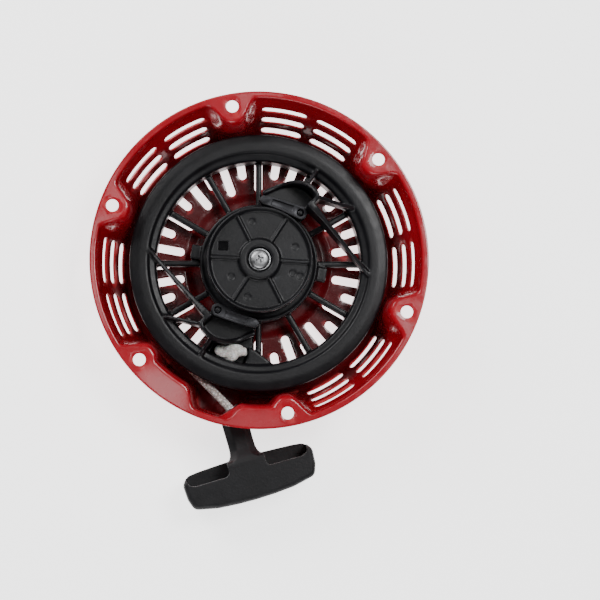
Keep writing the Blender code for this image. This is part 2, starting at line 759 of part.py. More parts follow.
make_case()
make_eyelet()
make_post()
make_washer()
make_screw()
spring = make_recoil_spring()
inner_run, outer_run = make_rope_runs()

reel = make_reel()
winding = make_winding()
reel_knot = ellipsoid("reel_knot", REEL_KNOT, REEL_KNOT_HALF, ROPE)
reel_springs = [make_ratchet_spring("ratchet_spring_1", False),
                make_ratchet_spring("ratchet_spring_2", True)]
guide = make_guide()
friction_spring = make_friction_spring()
ratchet_1 = make_ratchet("ratchet_1", False)
ratchet_2 = make_ratchet("ratchet_2", True)

grip = make_grip()
insert = make_grip_insert()
grip_knot = ellipsoid("grip_knot", grip_place(KNOT_ALONG), (5.8, 5.8, 5.8), ROPE)

reel_axis = pivot("reel_axis", (0, 0, 0), [reel, winding, reel_knot, *reel_springs])
guide_axis = pivot("guide_axis", (0, 0, GUIDE_TOP), [guide, friction_spring])
pivot_1 = pivot("ratchet_1_axis", RATCHET_PIVOT, [ratchet_1])
pivot_2 = pivot("ratchet_2_axis", -RATCHET_PIVOT, [ratchet_2])
for empty in (guide_axis, pivot_1, pivot_2):
    empty.parent = reel_axis
pivot("handle_axis", EYELET, [grip, insert, grip_knot, outer_run])
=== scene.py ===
"""Looks of the recoil starter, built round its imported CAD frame.  Places and sizes of pieces are in
millimetres until a helper turns them into metres; shader distances and the sizes of the lamps are
in metres.  +Z points out of the case's open side."""
import json
import math

import bmesh
import bpy
import numpy as np
from mathutils import Matrix, Vector
from mathutils.geometry import delaunay_2d_cdt


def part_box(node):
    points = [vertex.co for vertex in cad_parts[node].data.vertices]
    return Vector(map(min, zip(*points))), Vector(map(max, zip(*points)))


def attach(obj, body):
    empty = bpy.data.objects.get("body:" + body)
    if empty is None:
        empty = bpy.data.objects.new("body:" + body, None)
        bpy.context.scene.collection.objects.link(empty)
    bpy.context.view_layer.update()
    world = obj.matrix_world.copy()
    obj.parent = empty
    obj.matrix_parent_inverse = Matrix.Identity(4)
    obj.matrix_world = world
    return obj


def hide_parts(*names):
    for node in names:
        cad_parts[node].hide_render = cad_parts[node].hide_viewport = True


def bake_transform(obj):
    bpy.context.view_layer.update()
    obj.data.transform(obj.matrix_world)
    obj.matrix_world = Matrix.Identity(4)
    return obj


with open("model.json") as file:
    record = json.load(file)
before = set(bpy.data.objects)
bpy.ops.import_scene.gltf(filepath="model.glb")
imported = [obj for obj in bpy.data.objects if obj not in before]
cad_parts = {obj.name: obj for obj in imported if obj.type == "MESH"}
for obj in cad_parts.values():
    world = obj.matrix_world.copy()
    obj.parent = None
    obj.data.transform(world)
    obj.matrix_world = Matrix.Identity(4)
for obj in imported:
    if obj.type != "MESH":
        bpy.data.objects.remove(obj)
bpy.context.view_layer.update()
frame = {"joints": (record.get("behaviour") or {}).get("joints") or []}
MM = 0.001
JOINTS = {joint["name"]: joint for joint in frame["joints"]}


def cad_box(node):
    """Lowest and highest corner of a CAD node, in millimetres."""
    low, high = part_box(node)
    return low / MM, high / MM


# ---------------------------------------------------------------- sizes

UP = Vector((0, 0, 1))

CASE_TOP = cad_box("case_shell")[1].z
RIM_R = 107.5
FLANGE_EDGE_R = 106.4
SHEET = 1.2
LIP_DROP = 3.0
HOLE_R = 4.0
HOLE_PITCH_R = 99.0
HOLE_ANGLE = 40.3
HOLE_COUNT = 6
SEAM_ANGLE = 35.0
JOIN_R = 81.0
SLOT_COUNT = 36
SLOT_HALF = 2.65
SLOT_OUTER_R = 74.0
SLOT_INNER_R = (58.0, 49.0)
LOUVRE_SECTORS = (10.0, 70.0, 130.0, 190.0, 310.0)
LOUVRE_OFFSET = 10.5
LOUVRE_SPAN = 17.0
LOUVRE_HALF = 3.0
LOUVRE_HEIGHTS = (6.8, 17.0, 28.0)

# The bolt lobes' radius at each height, and how far their sides run out into the wall.
LOBE_Z = (6.0, 28.0, 40.0, 44.0, 46.5, 47.6, 48.0)
LOBE_R = (13.3, 13.3, 12.6, 11.9, 11.0, 10.1, 9.5)
LOBE_FLARE = 4.6
# The wall bulges out in the rope bay, and is pressed flat where the eyelet sits.
BAY = (246.0, 262.0)
BAY_R = 101.0
BAY_TOP = 44.0
FACET_ANGLE = 302.0
FACET = (250.0, 264.0)
FACET_Z = (2.5, 47.5)
# Start, end and centre radius of the ledges beside the bay.  A ledge's inner wall lies this share
# of the lobe radius inside its centre.
LEDGES = ((HOLE_ANGLE + 180, 238.0, 101.0), (FACET[1], HOLE_ANGLE + 240, 102.5))
LEDGE_SHARE = 0.85
LEDGE_EASE = 6.0

ROPE_R = 2.75
ROPE_Z = 18.0
EYELET = Vector((-17.6, -94.7, ROPE_Z))
EYELET_HOLE_R = 4.7
PULL = Vector(JOINTS["handle_pull"]["axis"]).normalized()
ACROSS = Vector((-PULL.y, PULL.x, 0.0))
GRIP_START = 13.0

REEL_R = 83.3
REEL_TOP = 28.0
GROOVE = (12.0, 24.5)
CORE_R = 68.5
HUB_R = 38.0
TUBE_R = 10.5
GUIDE_R = 33.5
GUIDE_TOP = 47.0
RATCHET_PIVOT = Vector(JOINTS["ratchet_1_swing"]["pos_m"]) / MM
RATCHET_TIP = Vector((1.4, 40.0, 0.0))
RATCHET_Z = (24.6, 33.4)
WINDING_R = 75.8
BAR_Z = (5.0, 31.0)


# ---------------------------------------------------------------- mesh helpers

def polar(angle, radius, z=0.0):
    a = math.radians(angle)
    return Vector((radius * math.cos(a), radius * math.sin(a), z))


def arc(centre, radius, start, end, count):
    return [(centre[0] + radius * math.cos(math.radians(a)),
             centre[1] + radius * math.sin(math.radians(a)))
            for a in np.linspace(start, end, count)]


def circle(centre, radius, count=24):
    return arc(centre, radius, 0, 360 - 360 / count, count)


def rounded(corners, steps=5):
    """A line through (x, y, radius) corners, each turned by an arc of its radius."""
    points = [Vector(corners[0][:2])]
    for i in range(1, len(corners) - 1):
        before, here, after = (Vector(corners[k][:2]) for k in (i - 1, i, i + 1))
        radius = corners[i][2]
        a, b = (before - here).normalized(), (after - here).normalized()
        half = a.angle(b) / 2
        if radius <= 0 or half > math.radians(89.5):
            points.append(here)
            continue
        room = min((before - here).length, (after - here).length)
        reach = min(radius / math.tan(half), 0.49 * room)
        start, end = here + a * reach, here + b * reach
        for k in range(steps + 1):
            f = k / steps
            points.append((1 - f) ** 2 * start + 2 * f * (1 - f) * here + f * f * end)
    points.append(Vector(corners[-1][:2]))
    return points


def rounded_loop(corners, steps=4):
    """The same for a closed outline."""
    closed = [corners[-1]] + list(corners) + [corners[0]]
    return rounded(closed, steps)[1:-1]


def object_from(name, bm, smooth_angle=35.0):
    mesh = bpy.data.meshes.new(name)
    bmesh.ops.recalc_face_normals(bm, faces=bm.faces)
    bm.to_mesh(mesh)
    bm.free()
    obj = bpy.data.objects.new(name, mesh)
    bpy.context.scene.collection.objects.link(obj)
    mesh.shade_smooth()
    mesh.set_sharp_from_angle(angle=math.radians(smooth_angle))
    return obj


def bake_modifiers(obj, smooth_angle=35.0):
    """Replace an object's mesh by what its modifiers make of it."""
    bpy.context.view_layer.update()
    graph = bpy.context.evaluated_depsgraph_get()
    mesh = bpy.data.meshes.new_from_object(obj.evaluated_get(graph))
    obj.modifiers.clear()
    obj.data = mesh
    mesh.shade_smooth()
    mesh.set_sharp_from_angle(angle=math.radians(smooth_angle))
    return obj


def loft(bm, rings, closed=False):
    """Join rings of equal length with quads; an open row of rings gets two end caps."""
    rows = [[bm.verts.new(Vector(p) * MM) for p in ring] for ring in rings]
    count = len(rows[0])
    pairs = list(zip(rows, rows[1:])) + ([(rows[-1], rows[0])] if closed else [])
    for low, high in pairs:
        for i in range(count):
            j = (i + 1) % count
            bm.faces.new((low[i], low[j], high[j], high[i]))
    if not closed:
        bm.faces.new(rows[0])
        bm.faces.new(rows[-1])


def lathe(bm, outline, steps=96):
    """Turn a closed (radius, z) outline about Z."""
    loft(bm, [[polar(360 * i / steps, p[0], p[1]) for p in outline] for i in range(steps)],
         closed=True)


def lathe_solid(bm, outline, steps=96):
    """Turn an outline whose ends are near the axis, and close it there."""
    loft(bm, [[polar(360 * i / steps, p[0], p[1]) for i in range(steps)] for p in outline])


def prism(bm, outline, low, high):
    loft(bm, [[(p[0], p[1], z) for p in outline] for z in (low, high)])


def ribbon(bm, points, thickness):
    """A wall along (x, y, bottom, top) points, with mitred corners; a fifth value is the point's
    own thickness."""
    flat = [Vector(p[:2]) for p in points]
    rings = []
    for i, p in enumerate(points):
        before = (flat[i] - flat[i - 1]).normalized() if i else None
        after = (flat[i + 1] - flat[i]).normalized() if i < len(points) - 1 else None
        along = ((before or after) + (after or before)).normalized()
        normal = Vector((-along.y, along.x))
        side = Vector((-(after or before).y, (after or before).x))
        half = (p[4] if len(p) > 4 else thickness) / 2
        reach = half / max(0.5, normal.dot(side))
        left, right = flat[i] + normal * reach, flat[i] - normal * reach
        rings.append([(*left, p[2]), (*right, p[2]), (*right, p[3]), (*left, p[3])])
    loft(bm, rings)


def half_turn(points):
    return [(-p[0], -p[1], *p[2:]) for p in points]


def cylinder(bm, centre, axis, radius, length, segments=32, radius_2=None):
    turn = axis.to_track_quat("Z", "Y").to_matrix().to_4x4()
    place = Matrix.Translation(Vector(centre) * MM) @ turn
    bmesh.ops.create_cone(bm, cap_ends=True, segments=segments, radius1=radius * MM,
                          radius2=(radius if radius_2 is None else radius_2) * MM,
                          depth=length * MM, matrix=place)


def cutter(name, bm):
    obj = object_from(name, bm)
    obj.hide_render = True
    obj.hide_viewport = True
    return obj


def cut(obj, tool, operation="DIFFERENCE"):
    mod = obj.modifiers.new(tool.name, "BOOLEAN")
    mod.operation = operation
    mod.object = tool
    mod.solver = "EXACT"


def cut_out(obj, name, build, *sizes):
    """Cut away the solid that build makes from its sizes, and return it to be dropped."""
    bm = bmesh.new()
    build(bm, *sizes)
    tool = cutter(name, bm)
    cut(obj, tool)
    return tool


def moulded(obj, voxel, smoothing, smooth_angle=60.0):
    """Fuse overlapping solids and soften every edge, as a moulding has."""
    remesh = obj.modifiers.new("fuse", "REMESH")
    remesh.mode = "VOXEL"
    remesh.voxel_size = voxel * MM
    soft = obj.modifiers.new("soften", "SMOOTH")
    soft.factor = 0.5
    soft.iterations = smoothing
    return bake_modifiers(obj, smooth_angle)


def drop(*tools):
    for tool in tools:
        bpy.data.objects.remove(tool, do_unlink=True)


def settle(obj, body, slot_name, mat, *nodes):
    """Give a piece its body, its finish and the CAD nodes that it stands for."""
    obj.data.materials.clear()
    obj.data.materials.append(mat)
    if body:
        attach(obj, body)
    if nodes:
        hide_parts(*nodes)
    return obj


def grip_place(along, across=0.0, z=ROPE_Z):
    """A point by its distance along the pull, from the grip's start past the eyelet, and across it."""
    flat = EYELET + PULL * (along + GRIP_START) + ACROSS * across
    return Vector((flat.x, flat.y, z))


# ---------------------------------------------------------------- materials

class Nodes:
    """Short calls for building a shader."""

    def __init__(self, name):
        self.mat = bpy.data.materials.new(name)
        self.mat.use_nodes = True
        self.tree = self.mat.node_tree
        self.shader = self.tree.nodes["Principled BSDF"]
        self.coords = self.tree.nodes.new("ShaderNodeTexCoord").outputs["Object"]

    def feed(self, socket, value):
        """Set a socket, or link it where the value comes out of another node."""
        if isinstance(value, bpy.types.NodeSocket):
            self.tree.links.new(value, socket)
        else:
            socket.default_value = value

    def set(self, **values):
        for name, value in values.items():
            self.feed(self.shader.inputs[name.replace("_", " ")], value)

    def node(self, kind, **values):
        node = self.tree.nodes.new("ShaderNode" + kind)
        for name, value in values.items():
            self.feed(node.inputs[name.replace("_", " ")], value)
        return node

    def noise(self, scale, detail=4.0, roughness=0.55, distortion=0.0):
        return self.node("TexNoise", Vector=self.coords, Scale=scale, Detail=detail,
                         Roughness=roughness, Distortion=distortion).outputs["Fac"]

    def voronoi(self, scale):
        return self.node("TexVoronoi", Vector=self.coords, Scale=scale).outputs["Distance"]

    def remap(self, source, low, high, to_low, to_high):
        return self.node("MapRange", Value=source, From_Min=low, From_Max=high, To_Min=to_low,
                         To_Max=to_high).outputs["Result"]

    def ramp(self, source, stops):
        node = self.node("ValToRGB", Fac=source)
        elements = node.color_ramp.elements
        while len(elements) < len(stops):
            elements.new(0.5)
        for element, (place, colour) in zip(elements, stops):
            element.position = place
            element.color = (*colour, 1.0)
        return node.outputs["Color"]

    def mix(self, factor, first, second):
        node = self.node("Mix")
        node.data_type = "RGBA"
        for index, value in ((0, factor), (6, first), (7, second)):
            self.feed(node.inputs[index], (*value, 1.0) if isinstance(value, tuple) else value)
        return node.outputs[2]

    def pointiness(self, low, high):
        return self.remap(self.node("NewGeometry").outputs["Pointiness"], low, high, 0.0, 1.0)

    def sum_up(self, kind, operation, result, *values):
        """What a Math or VectorMath node makes of the values."""
        node = self.node(kind)
        node.operation = operation
        for socket, value in zip(node.inputs, values):
            self.feed(socket, value)
        return node.outputs[result]

    def painted_bowl_shade(self, top, bottom, most):
        """Painted shade: from 0 at the top to most at the bottom, on faces that look into the bowl,
        towards its axis or up."""
        normal = self.node("TexCoord").outputs["Normal"]
        inward = self.sum_up("VectorMath", "MULTIPLY_ADD", "Vector", self.coords,
                             (-1.0, -1.0, 0.0), (0.0, 0.0, 0.04))
        look = self.sum_up("VectorMath", "DOT_PRODUCT", "Value", normal, inward)
        height = self.sum_up("VectorMath", "DOT_PRODUCT", "Value", self.coords, tuple(UP))
        return self.sum_up("Math", "MULTIPLY", "Value", self.remap(look, -0.01, 0.02, 0.0, 1.0),
                           self.remap(height, top, bottom, 0.0, most))

    def bump(self, *layers):
        """Stack (height, distance in metres, strength) layers."""
        previous = None
        for height, distance, strength in layers:
            node = self.node("Bump", Height=height, Distance=distance, Strength=strength)
            if previous:
                self.feed(node.inputs["Normal"], previous)
            previous = node.outputs["Normal"]
        self.set(Normal=previous)


def red_enamel():
    """Gloss paint under a clear coat: uneven in tone and level, paler on edges, with painted shade
    darkening the inside of the bowl.
    """
    n = Nodes("red_enamel")
    n.set(Metallic=0.0, Coat_Weight=0.6, Coat_Roughness=0.07, Specular_IOR_Level=0.28)
    tone = n.ramp(n.noise(34.0, 3.0), [(0.3, (0.33, 0.003, 0.010)), (0.7, (0.42, 0.006, 0.017))])
    # Painted shade: faces that look into the bowl turn dark red towards its bottom.
    tone = n.mix(n.painted_bowl_shade(0.037, 0.010, 0.76), tone, (0.045, 0.001, 0.002))
    speck = n.remap(n.noise(1400.0, 2.0), 0.69, 0.74, 0.0, 1.0)
    tone = n.mix(speck, tone, (0.48, 0.07, 0.07))
    n.set(Base_Color=n.mix(n.pointiness(0.56, 0.70), tone, (0.50, 0.035, 0.04)))
    n.set(Roughness=n.remap(n.noise(90.0, 4.0), 0.3, 0.7, 0.20, 0.36))
    n.bump((n.noise(48.0, 2.0), 0.003, 0.42), (n.noise(420.0, 2.0), 0.0004, 0.12),
           (n.noise(2600.0, 1.0), 0.0001, 0.10))
    return n.mat


def black_nylon(name, low, high, rough_low, rough_high, grain=0.25):
    """Moulded black plastic: faint cloudiness, paler worn edges and a fine grain."""
    n = Nodes(name)
    n.set(Metallic=0.0, Specular_IOR_Level=0.33)
    tone = n.ramp(n.noise(60.0, 5.0), [(0.3, low), (0.7, high)])
    scuffs = n.remap(n.noise(220.0, 6.0, 0.7, 1.5), 0.62, 0.80, 0.0, 0.35)
    tone = n.mix(scuffs, tone, tuple(5.0 * c for c in high))
    edge = n.pointiness(0.53, 0.62)
    n.set(Base_Color=n.mix(edge, tone, tuple(4.0 * c for c in high)))
    n.set(Roughness=n.remap(n.noise(160.0, 5.0), 0.3, 0.7, rough_low, rough_high))
    n.bump((n.noise(700.0, 3.0), 0.0003, grain), (n.noise(3800.0, 2.0), 0.0001, grain))
    return n.mat


def metal(name, low, high, rough_low, rough_high, fineness=1.0):
    """Bare or plated metal: cloudy, with darker pits and a fine unevenness."""
    n = Nodes(name)
    n.set(Metallic=1.0)
    tone = n.ramp(n.noise(120.0, 5.0), [(0.3, low), (0.7, high)])
    pits = n.remap(n.noise(900.0, 3.0), 0.62, 0.74, 0.0, 0.5)
    n.set(Base_Color=n.mix(pits, tone, tuple(0.35 * c for c in low)))
    n.set(Roughness=n.remap(n.noise(300.0, 4.0), 0.3, 0.7, rough_low, rough_high))
    n.bump((n.noise(500.0 * fineness, 4.0), 0.0002, 0.25))
    return n.mat


def braided_cord(name, braid_shadow_share, low, high):
    """White cord: painted shade darkens its grooves, and painted braid shadow speckles it as strongly as
    the share given.
    """
    n = Nodes(name)
    n.set(Metallic=0.0, Sheen_Weight=0.35, Sheen_Roughness=0.5, Subsurface_Weight=0.08,
          Subsurface_Scale=0.002)
    tone = n.ramp(n.noise(420.0, 5.0, 0.7), [(0.30, low), (0.56, high)])
    # Painted shade in the braid's grooves, found by pointiness.
    tone = n.mix(n.pointiness(0.40, 0.52), (0.42, 0.37, 0.32), tone)
    # Painted braid shadow: darker away from the centres of the voronoi cells.
    painted_braid_shadow = n.remap(n.voronoi(620.0), 0.30, 0.62, 0.0, braid_shadow_share)
    n.set(Base_Color=n.mix(painted_braid_shadow, tone, (0.20, 0.17, 0.15)))
    n.set(Roughness=n.remap(n.noise(500.0, 3.0), 0.3, 0.7, 0.75, 0.95))
    n.bump((n.voronoi(620.0), 0.0004, 0.6), (n.noise(2400.0, 4.0, 0.7), 0.0003, 0.5))
    return n.mat


RED = red_enamel()
REEL_BLACK = black_nylon("reel_nylon", (0.0045, 0.0045, 0.0055), (0.0085, 0.0085, 0.0105),
                         0.31, 0.43)
GUIDE_BLACK = black_nylon("guide_nylon", (0.0055, 0.0055, 0.0065), (0.0105, 0.0105, 0.0125),
                          0.33, 0.48)
GRIP_BLACK = black_nylon("grip_plastic", (0.0055, 0.0055, 0.0065), (0.0095, 0.0095, 0.0110),
                         0.40, 0.58, 0.4)
STEEL = metal("plain_steel", (0.42, 0.42, 0.43), (0.55, 0.55, 0.56), 0.25, 0.45)
DARK_STEEL = metal("dark_steel", (0.035, 0.035, 0.038), (0.06, 0.06, 0.065), 0.38, 0.55)
ZINC = metal("zinc_plate", (0.24, 0.25, 0.26), (0.46, 0.46, 0.47), 0.30, 0.52, 2.0)
CORD = braided_cord("white_braid", 0.75, (0.66, 0.61, 0.56), (0.93, 0.91, 0.88))
KNOT_CORD = braided_cord("knotted_braid", 0.35, (0.86, 0.83, 0.79), (0.98, 0.97, 0.95))


# ---------------------------------------------------------------- case

# The flat flange counts as this long along the section, wherever its inner edge lies.
FLAT_STRETCH = 10.0
# The spacing of points on the wall, along the edges of the slots and over the closed face.
WALL_GRID = 2.1
FACE_EDGE_GRID = 2.4
FACE_GRID = 2.8
# The wall is triangulated flat, unrolled at this radius.
DOMAIN_R = 95.0


class CaseSkin:
    """The inner skin of the pressed case, addressed by an angle and a distance along its section."""

    def __init__(self):
        corners = [(JOIN_R, SHEET, 0), (86.9, SHEET, 7.0), (94.8, 17.0, 60.0), (99.5, 28.0, 60.0),
                   (102.3, 40.0, 60.0), (103.2, CASE_TOP, 3.0), (FLANGE_EDGE_R, CASE_TOP, 0.0),
                   (RIM_R, CASE_TOP, 1.0), (RIM_R, CASE_TOP - LIP_DROP, 0)]
        points = [np.array(p) for p in rounded(corners, 10)]
        lengths = [0.0]
        for a, b in zip(points, points[1:]):
            lengths.append(lengths[-1] + float(np.linalg.norm(b - a)))
        self.v = np.array(lengths)
        self.r = np.array([p[0] for p in points])
        self.z = np.array([p[1] for p in points])
        flat = np.flatnonzero(np.isclose(self.z, CASE_TOP))
        self.flat_start = self.v[flat[0]]
        self.flat_end = self.v[np.flatnonzero(np.isclose(self.r, FLANGE_EDGE_R))[0]]
        self.v[self.v >= self.flat_end - 1e-9] += FLAT_STRETCH - (self.flat_end - self.flat_start)
        self.flat_end = self.flat_start + FLAT_STRETCH
        self.flat_r = float(np.interp(self.flat_start, self.v, self.r))

    def wall_radius(self, angle, radius, z):
        """Radius once the bolt lobes, ledges, rope bay and eyelet facet are pressed in."""
        angle, radius, z = np.broadcast_arrays(np.asarray(angle, float) % 360, radius, z)
        rise = np.clip((z - SHEET) / 3.0, 0, 1)
        bay = smooth((angle - BAY[0] + 3) / 3) * smooth((BAY[1] - angle + 3) / 3)
        bay = bay * smooth((BAY_TOP - z) / 10.0) * rise
        wall = radius + bay * np.maximum(0.0, BAY_R - radius)
        lobe = np.interp(z, LOBE_Z, LOBE_R)
        width = np.degrees((lobe + LOBE_FLARE) / HOLE_PITCH_R)
        result = wall.copy()
        for k in range(HOLE_COUNT):
            middle = bolt_angle(k)
            bump = self.bump(angle, middle, middle, width)
            depth = soft_above(wall - (HOLE_PITCH_R - lobe))
            result = np.minimum(result, wall - rise * depth * bump)
        for start, end, centre_r in LEDGES:
            bump = self.bump(angle, start, end, width)
            if start == FACET[1]:
                eased = smooth((angle - (start - LEDGE_EASE)) / LEDGE_EASE)
                bump = np.where(angle < start, eased, bump)
            depth = soft_above(wall - (centre_r - LEDGE_SHARE * lobe))
            result = np.minimum(result, wall - rise * depth * bump)
        facing = np.cos(np.radians(np.clip(angle, FACET[0], FACET[1] + 4) - FACET_ANGLE))
        plane = polar(FACET_ANGLE, 1.0).dot(Vector((EYELET.x, EYELET.y, 0.0)))
        facet = np.maximum(plane / facing, LEDGES[1][2] - LEDGE_SHARE * lobe)
        in_facet = (angle > FACET[0]) & (angle < FACET[1]) & (z > FACET_Z[0])
        fade = smooth((z - FACET_Z[0]) / 3.0) * smooth((FACET_Z[1] - z) / 5.0)
        return np.where(in_facet, result + fade * (np.minimum(wall, facet) - result), result)

    @staticmethod
    def bump(angle, start, end, width):
        """1 from start to end, falling to 0 over the width on either side."""
        off = np.abs((angle - (start + end) / 2 + 180) % 360 - 180) - (end - start) / 2
        share = np.clip(np.maximum(off, 0.0) / width, 0, 1)
        return np.cos(np.pi / 2 * share ** 1.5) ** 2

    def place(self, angle, v):
        """Points of the skin, one row each."""
        angle, v = np.broadcast_arrays(np.asarray(angle, float), np.asarray(v, float))
        radius, z = np.interp(v, self.v, self.r), np.interp(v, self.v, self.z)
        dented = self.wall_radius(angle, radius, z)
        top = np.full_like(z, CASE_TOP)
        inner = self.wall_radius(angle, np.full_like(radius, self.flat_r), top)
        outer = float(np.interp(self.flat_end, self.v, self.r))
        share = np.clip((v - self.flat_start) / FLAT_STRETCH, 0, 1)
        on_flat = inner + (outer - inner) * share
        r = np.where(v >= self.flat_end, radius, np.where(v > self.flat_start, on_flat, dented))
        a = np.radians(angle)
        return np.stack([r * np.cos(a), r * np.sin(a), z], axis=-1)

    def flange_v(self, angle, radius):
        """Where a radius on the flat flange lies along the section."""
        inner = float(self.wall_radius(angle, self.flat_r, CASE_TOP))
        outer = float(np.interp(self.flat_end, self.v, self.r))
        return self.flat_start + FLAT_STRETCH * (radius - inner) / (outer - inner)

    def height_v(self, z):
        keep = self.v <= self.flat_start
        return float(np.interp(z, self.z[keep], self.v[keep]))


def bolt_angle(k):
    return HOLE_ANGLE + 360 / HOLE_COUNT * k


def smooth(x):
    """An S-shaped step from 0 to 1."""
    x = np.clip(x, 0.0, 1.0)
    return x * x * (3 - 2 * x)


def soft_above(x, blend=1.2):
    """The positive part of x, with a rounded start."""
    eased = 0.5 * (x + np.sqrt(x * x + blend * blend)) - 0.15 * blend
    return np.maximum(0.0, eased) * (x > -2.5 * blend)


def louvre_holes(skin):
    """Each louvre's angle, distance along the section, radius, and half length up to its round end."""
    holes = []
    for sector in LOUVRE_SECTORS:
        for side in (-LOUVRE_OFFSET, LOUVRE_OFFSET):
            for height in LOUVRE_HEIGHTS:
                v = skin.height_v(height)
                radius = float(np.interp(v, skin.v, skin.r))
                half = radius * math.radians(LOUVRE_SPAN) / 2 - LOUVRE_HALF
                holes.append({"angle": sector + side, "v": v, "r": radius, "half": half})
    return holes


def subdivided(outline, spacing):
    """The same closed outline, with its long sides split at about the spacing."""
    run = []
    for (x1, y1), (x2, y2) in zip(outline, outline[1:] + outline[:1]):
        steps = max(1, round(math.dist((x1, y1), (x2, y2)) / spacing))
        run += [(x1 + (x2 - x1) * k / steps, y1 + (y2 - y1) * k / steps) for k in range(steps)]
    return run


def louvre_outline(hole, count=9):
    corners = arc((hole["half"], 0), LOUVRE_HALF, -90, 90, count)
    corners += arc((-hole["half"], 0), LOUVRE_HALF, 90, 270, count)
    run = subdivided(corners, WALL_GRID)
    return [(hole["angle"] + math.degrees(x / hole["r"]), hole["v"] + y) for x, y in run]


def round_outlines(skin):
    """Bolt holes on the flange and the eyelet's hole on its facet."""
    outlines = []
    for k in range(HOLE_COUNT):
        middle = polar(bolt_angle(k), HOLE_PITCH_R)
        ring = []
        for x, y in circle(middle.xy, HOLE_R):
            angle = math.degrees(math.atan2(y, x)) % 360
            ring.append((angle, skin.flange_v(angle, math.hypot(x, y))))
        outlines.append(ring)
    along = polar(FACET_ANGLE + 90, 1.0)
    ring = []
    for aside, rise in circle((0, 0), EYELET_HOLE_R):
        spot = EYELET + along * aside
        ring.append((math.degrees(math.atan2(spot.y, spot.x)) % 360, skin.height_v(ROPE_Z + rise)))
    outlines.append(ring)
    return outlines


def inside(point, ring):
    """Whether a point lies inside a closed ring of points."""
    x, y = point
    hit = False
    for (x1, y1), (x2, y2) in zip(ring, ring[1:] + ring[:1]):
        if (y1 > y) != (y2 > y) and x < (x2 - x1) * (y - y1) / (y2 - y1) + x1:
            hit = not hit
    return hit


def near(point, ring, margin):
    return any((point[0] - p[0]) ** 2 + (point[1] - p[1]) ** 2 < margin * margin for p in ring)


def fill(points, rings, border):
    """Triangulate points inside a border, and leave the rings open."""
    verts = [Vector(p) for p in border]
    edges = [(i, (i + 1) % len(border)) for i in range(len(border))]
    for ring in rings:
        base = len(verts)
        verts += [Vector(p) for p in ring]
        edges += [(base + i, base + (i + 1) % len(ring)) for i in range(len(ring))]
    boxes = [(min(p[0] for p in r), max(p[0] for p in r), min(p[1] for p in r),
              max(p[1] for p in r), r) for r in rings]
    margin = 0.55 * WALL_GRID

    def local_rings(p):
        return [r for x0, x1, y0, y1, r in boxes
                if x0 - margin < p[0] < x1 + margin and y0 - margin < p[1] < y1 + margin]

    for p in points:
        close = local_rings(p)
        if not any(inside(p, r) or near(p, r, margin) for r in close):
            verts.append(Vector(p))
    outline = list(range(len(border)))
    out_verts, _, faces, _, _, _ = delaunay_2d_cdt(verts, edges, [outline], 1, 1e-5)
    kept = []
    for face in faces:
        middle = sum((out_verts[i] for i in face), Vector((0, 0))) / len(face)
        if not any(inside(middle, r) for r in local_rings(middle)):
            kept.append(face)
    return out_verts, kept


def face_profile():
    """Height of the closed face's inner skin against radius: the slotted ring is pressed in."""
    points = rounded([(0.0, SHEET, 0), (43.5, SHEET, 6.0), (48.0, 3.0, 6.0), (76.0, 3.0, 5.0),
                      (79.0, SHEET, 4.0), (JOIN_R, SHEET, 0)], 6)
    return np.array([p.x for p in points]), np.array([p.y for p in points])


def make_case():
    skin = CaseSkin()
    bm = bmesh.new()
    add_wall(bm, skin)
    add_face(bm)
    bmesh.ops.remove_doubles(bm, verts=bm.verts, dist=0.02 * MM)
    bmesh.ops.recalc_face_normals(bm, faces=bm.faces)
    floor_face = min(bm.faces, key=lambda f: f.calc_center_median().xy.length)
    if floor_face.normal.z < 0:
        bmesh.ops.reverse_faces(bm, faces=bm.faces)
    mesh = bpy.data.meshes.new("case")
    bm.to_mesh(mesh)
    bm.free()
    case = bpy.data.objects.new("case", mesh)
    bpy.context.scene.collection.objects.link(case)
    sheet = case.modifiers.new("sheet", "SOLIDIFY")
    sheet.thickness = SHEET * MM
    sheet.offset = -1.0
    sheet.use_even_offset = True
    edges = case.modifiers.new("edges", "BEVEL")
    edges.width = 0.3 * MM
    edges.segments = 2
    edges.limit_method = "ANGLE"
    edges.angle_limit = math.radians(55)
    bake_modifiers(case, 50.0)
    return settle(case, "case", "case_red", RED, "case_shell")


def wall_columns():
    count = round(2 * math.pi * DOMAIN_R / WALL_GRID)
    return [SEAM_ANGLE + 360 * k / count for k in range(count + 1)]


def add_wall(bm, skin):
    angles = wall_columns()
    top = float(skin.v[-1])
    count = round(top / WALL_GRID)
    rows = {top * k / count for k in range(count)} | {top}
    rows |= set(np.linspace(skin.flat_start - 3.5, skin.flat_start, 6))
    rows = sorted(rows | set(np.linspace(skin.flat_end, top, 6)))
    rows = [v for i, v in enumerate(rows) if i == 0 or v - rows[i - 1] > 0.25 or v == top]

    def flat(angle, v):
        return (math.radians(angle - SEAM_ANGLE) * DOMAIN_R, v)

    rings = [louvre_outline(h) for h in louvre_holes(skin)] + round_outlines(skin)
    rings = [[flat((a - SEAM_ANGLE) % 360 + SEAM_ANGLE, v) for a, v in ring] for ring in rings]
    border = [flat(a, 0.0) for a in angles] + [flat(angles[-1], v) for v in rows[1:-1]]
    border += [flat(a, top) for a in reversed(angles)]
    border += [flat(angles[0], v) for v in reversed(rows[1:-1])]
    points = [flat(a, v) for v in rows[1:-1] for a in angles[1:-1]]
    verts, faces = fill(points, rings, border)
    xs, vs = np.array([p.x for p in verts]), np.array([p.y for p in verts])
    places = skin.place(np.degrees(xs / DOMAIN_R) + SEAM_ANGLE, vs)
    made = [bm.verts.new(Vector(p) * MM) for p in places]
    for face in faces:
        bm.faces.new([made[i] for i in face])


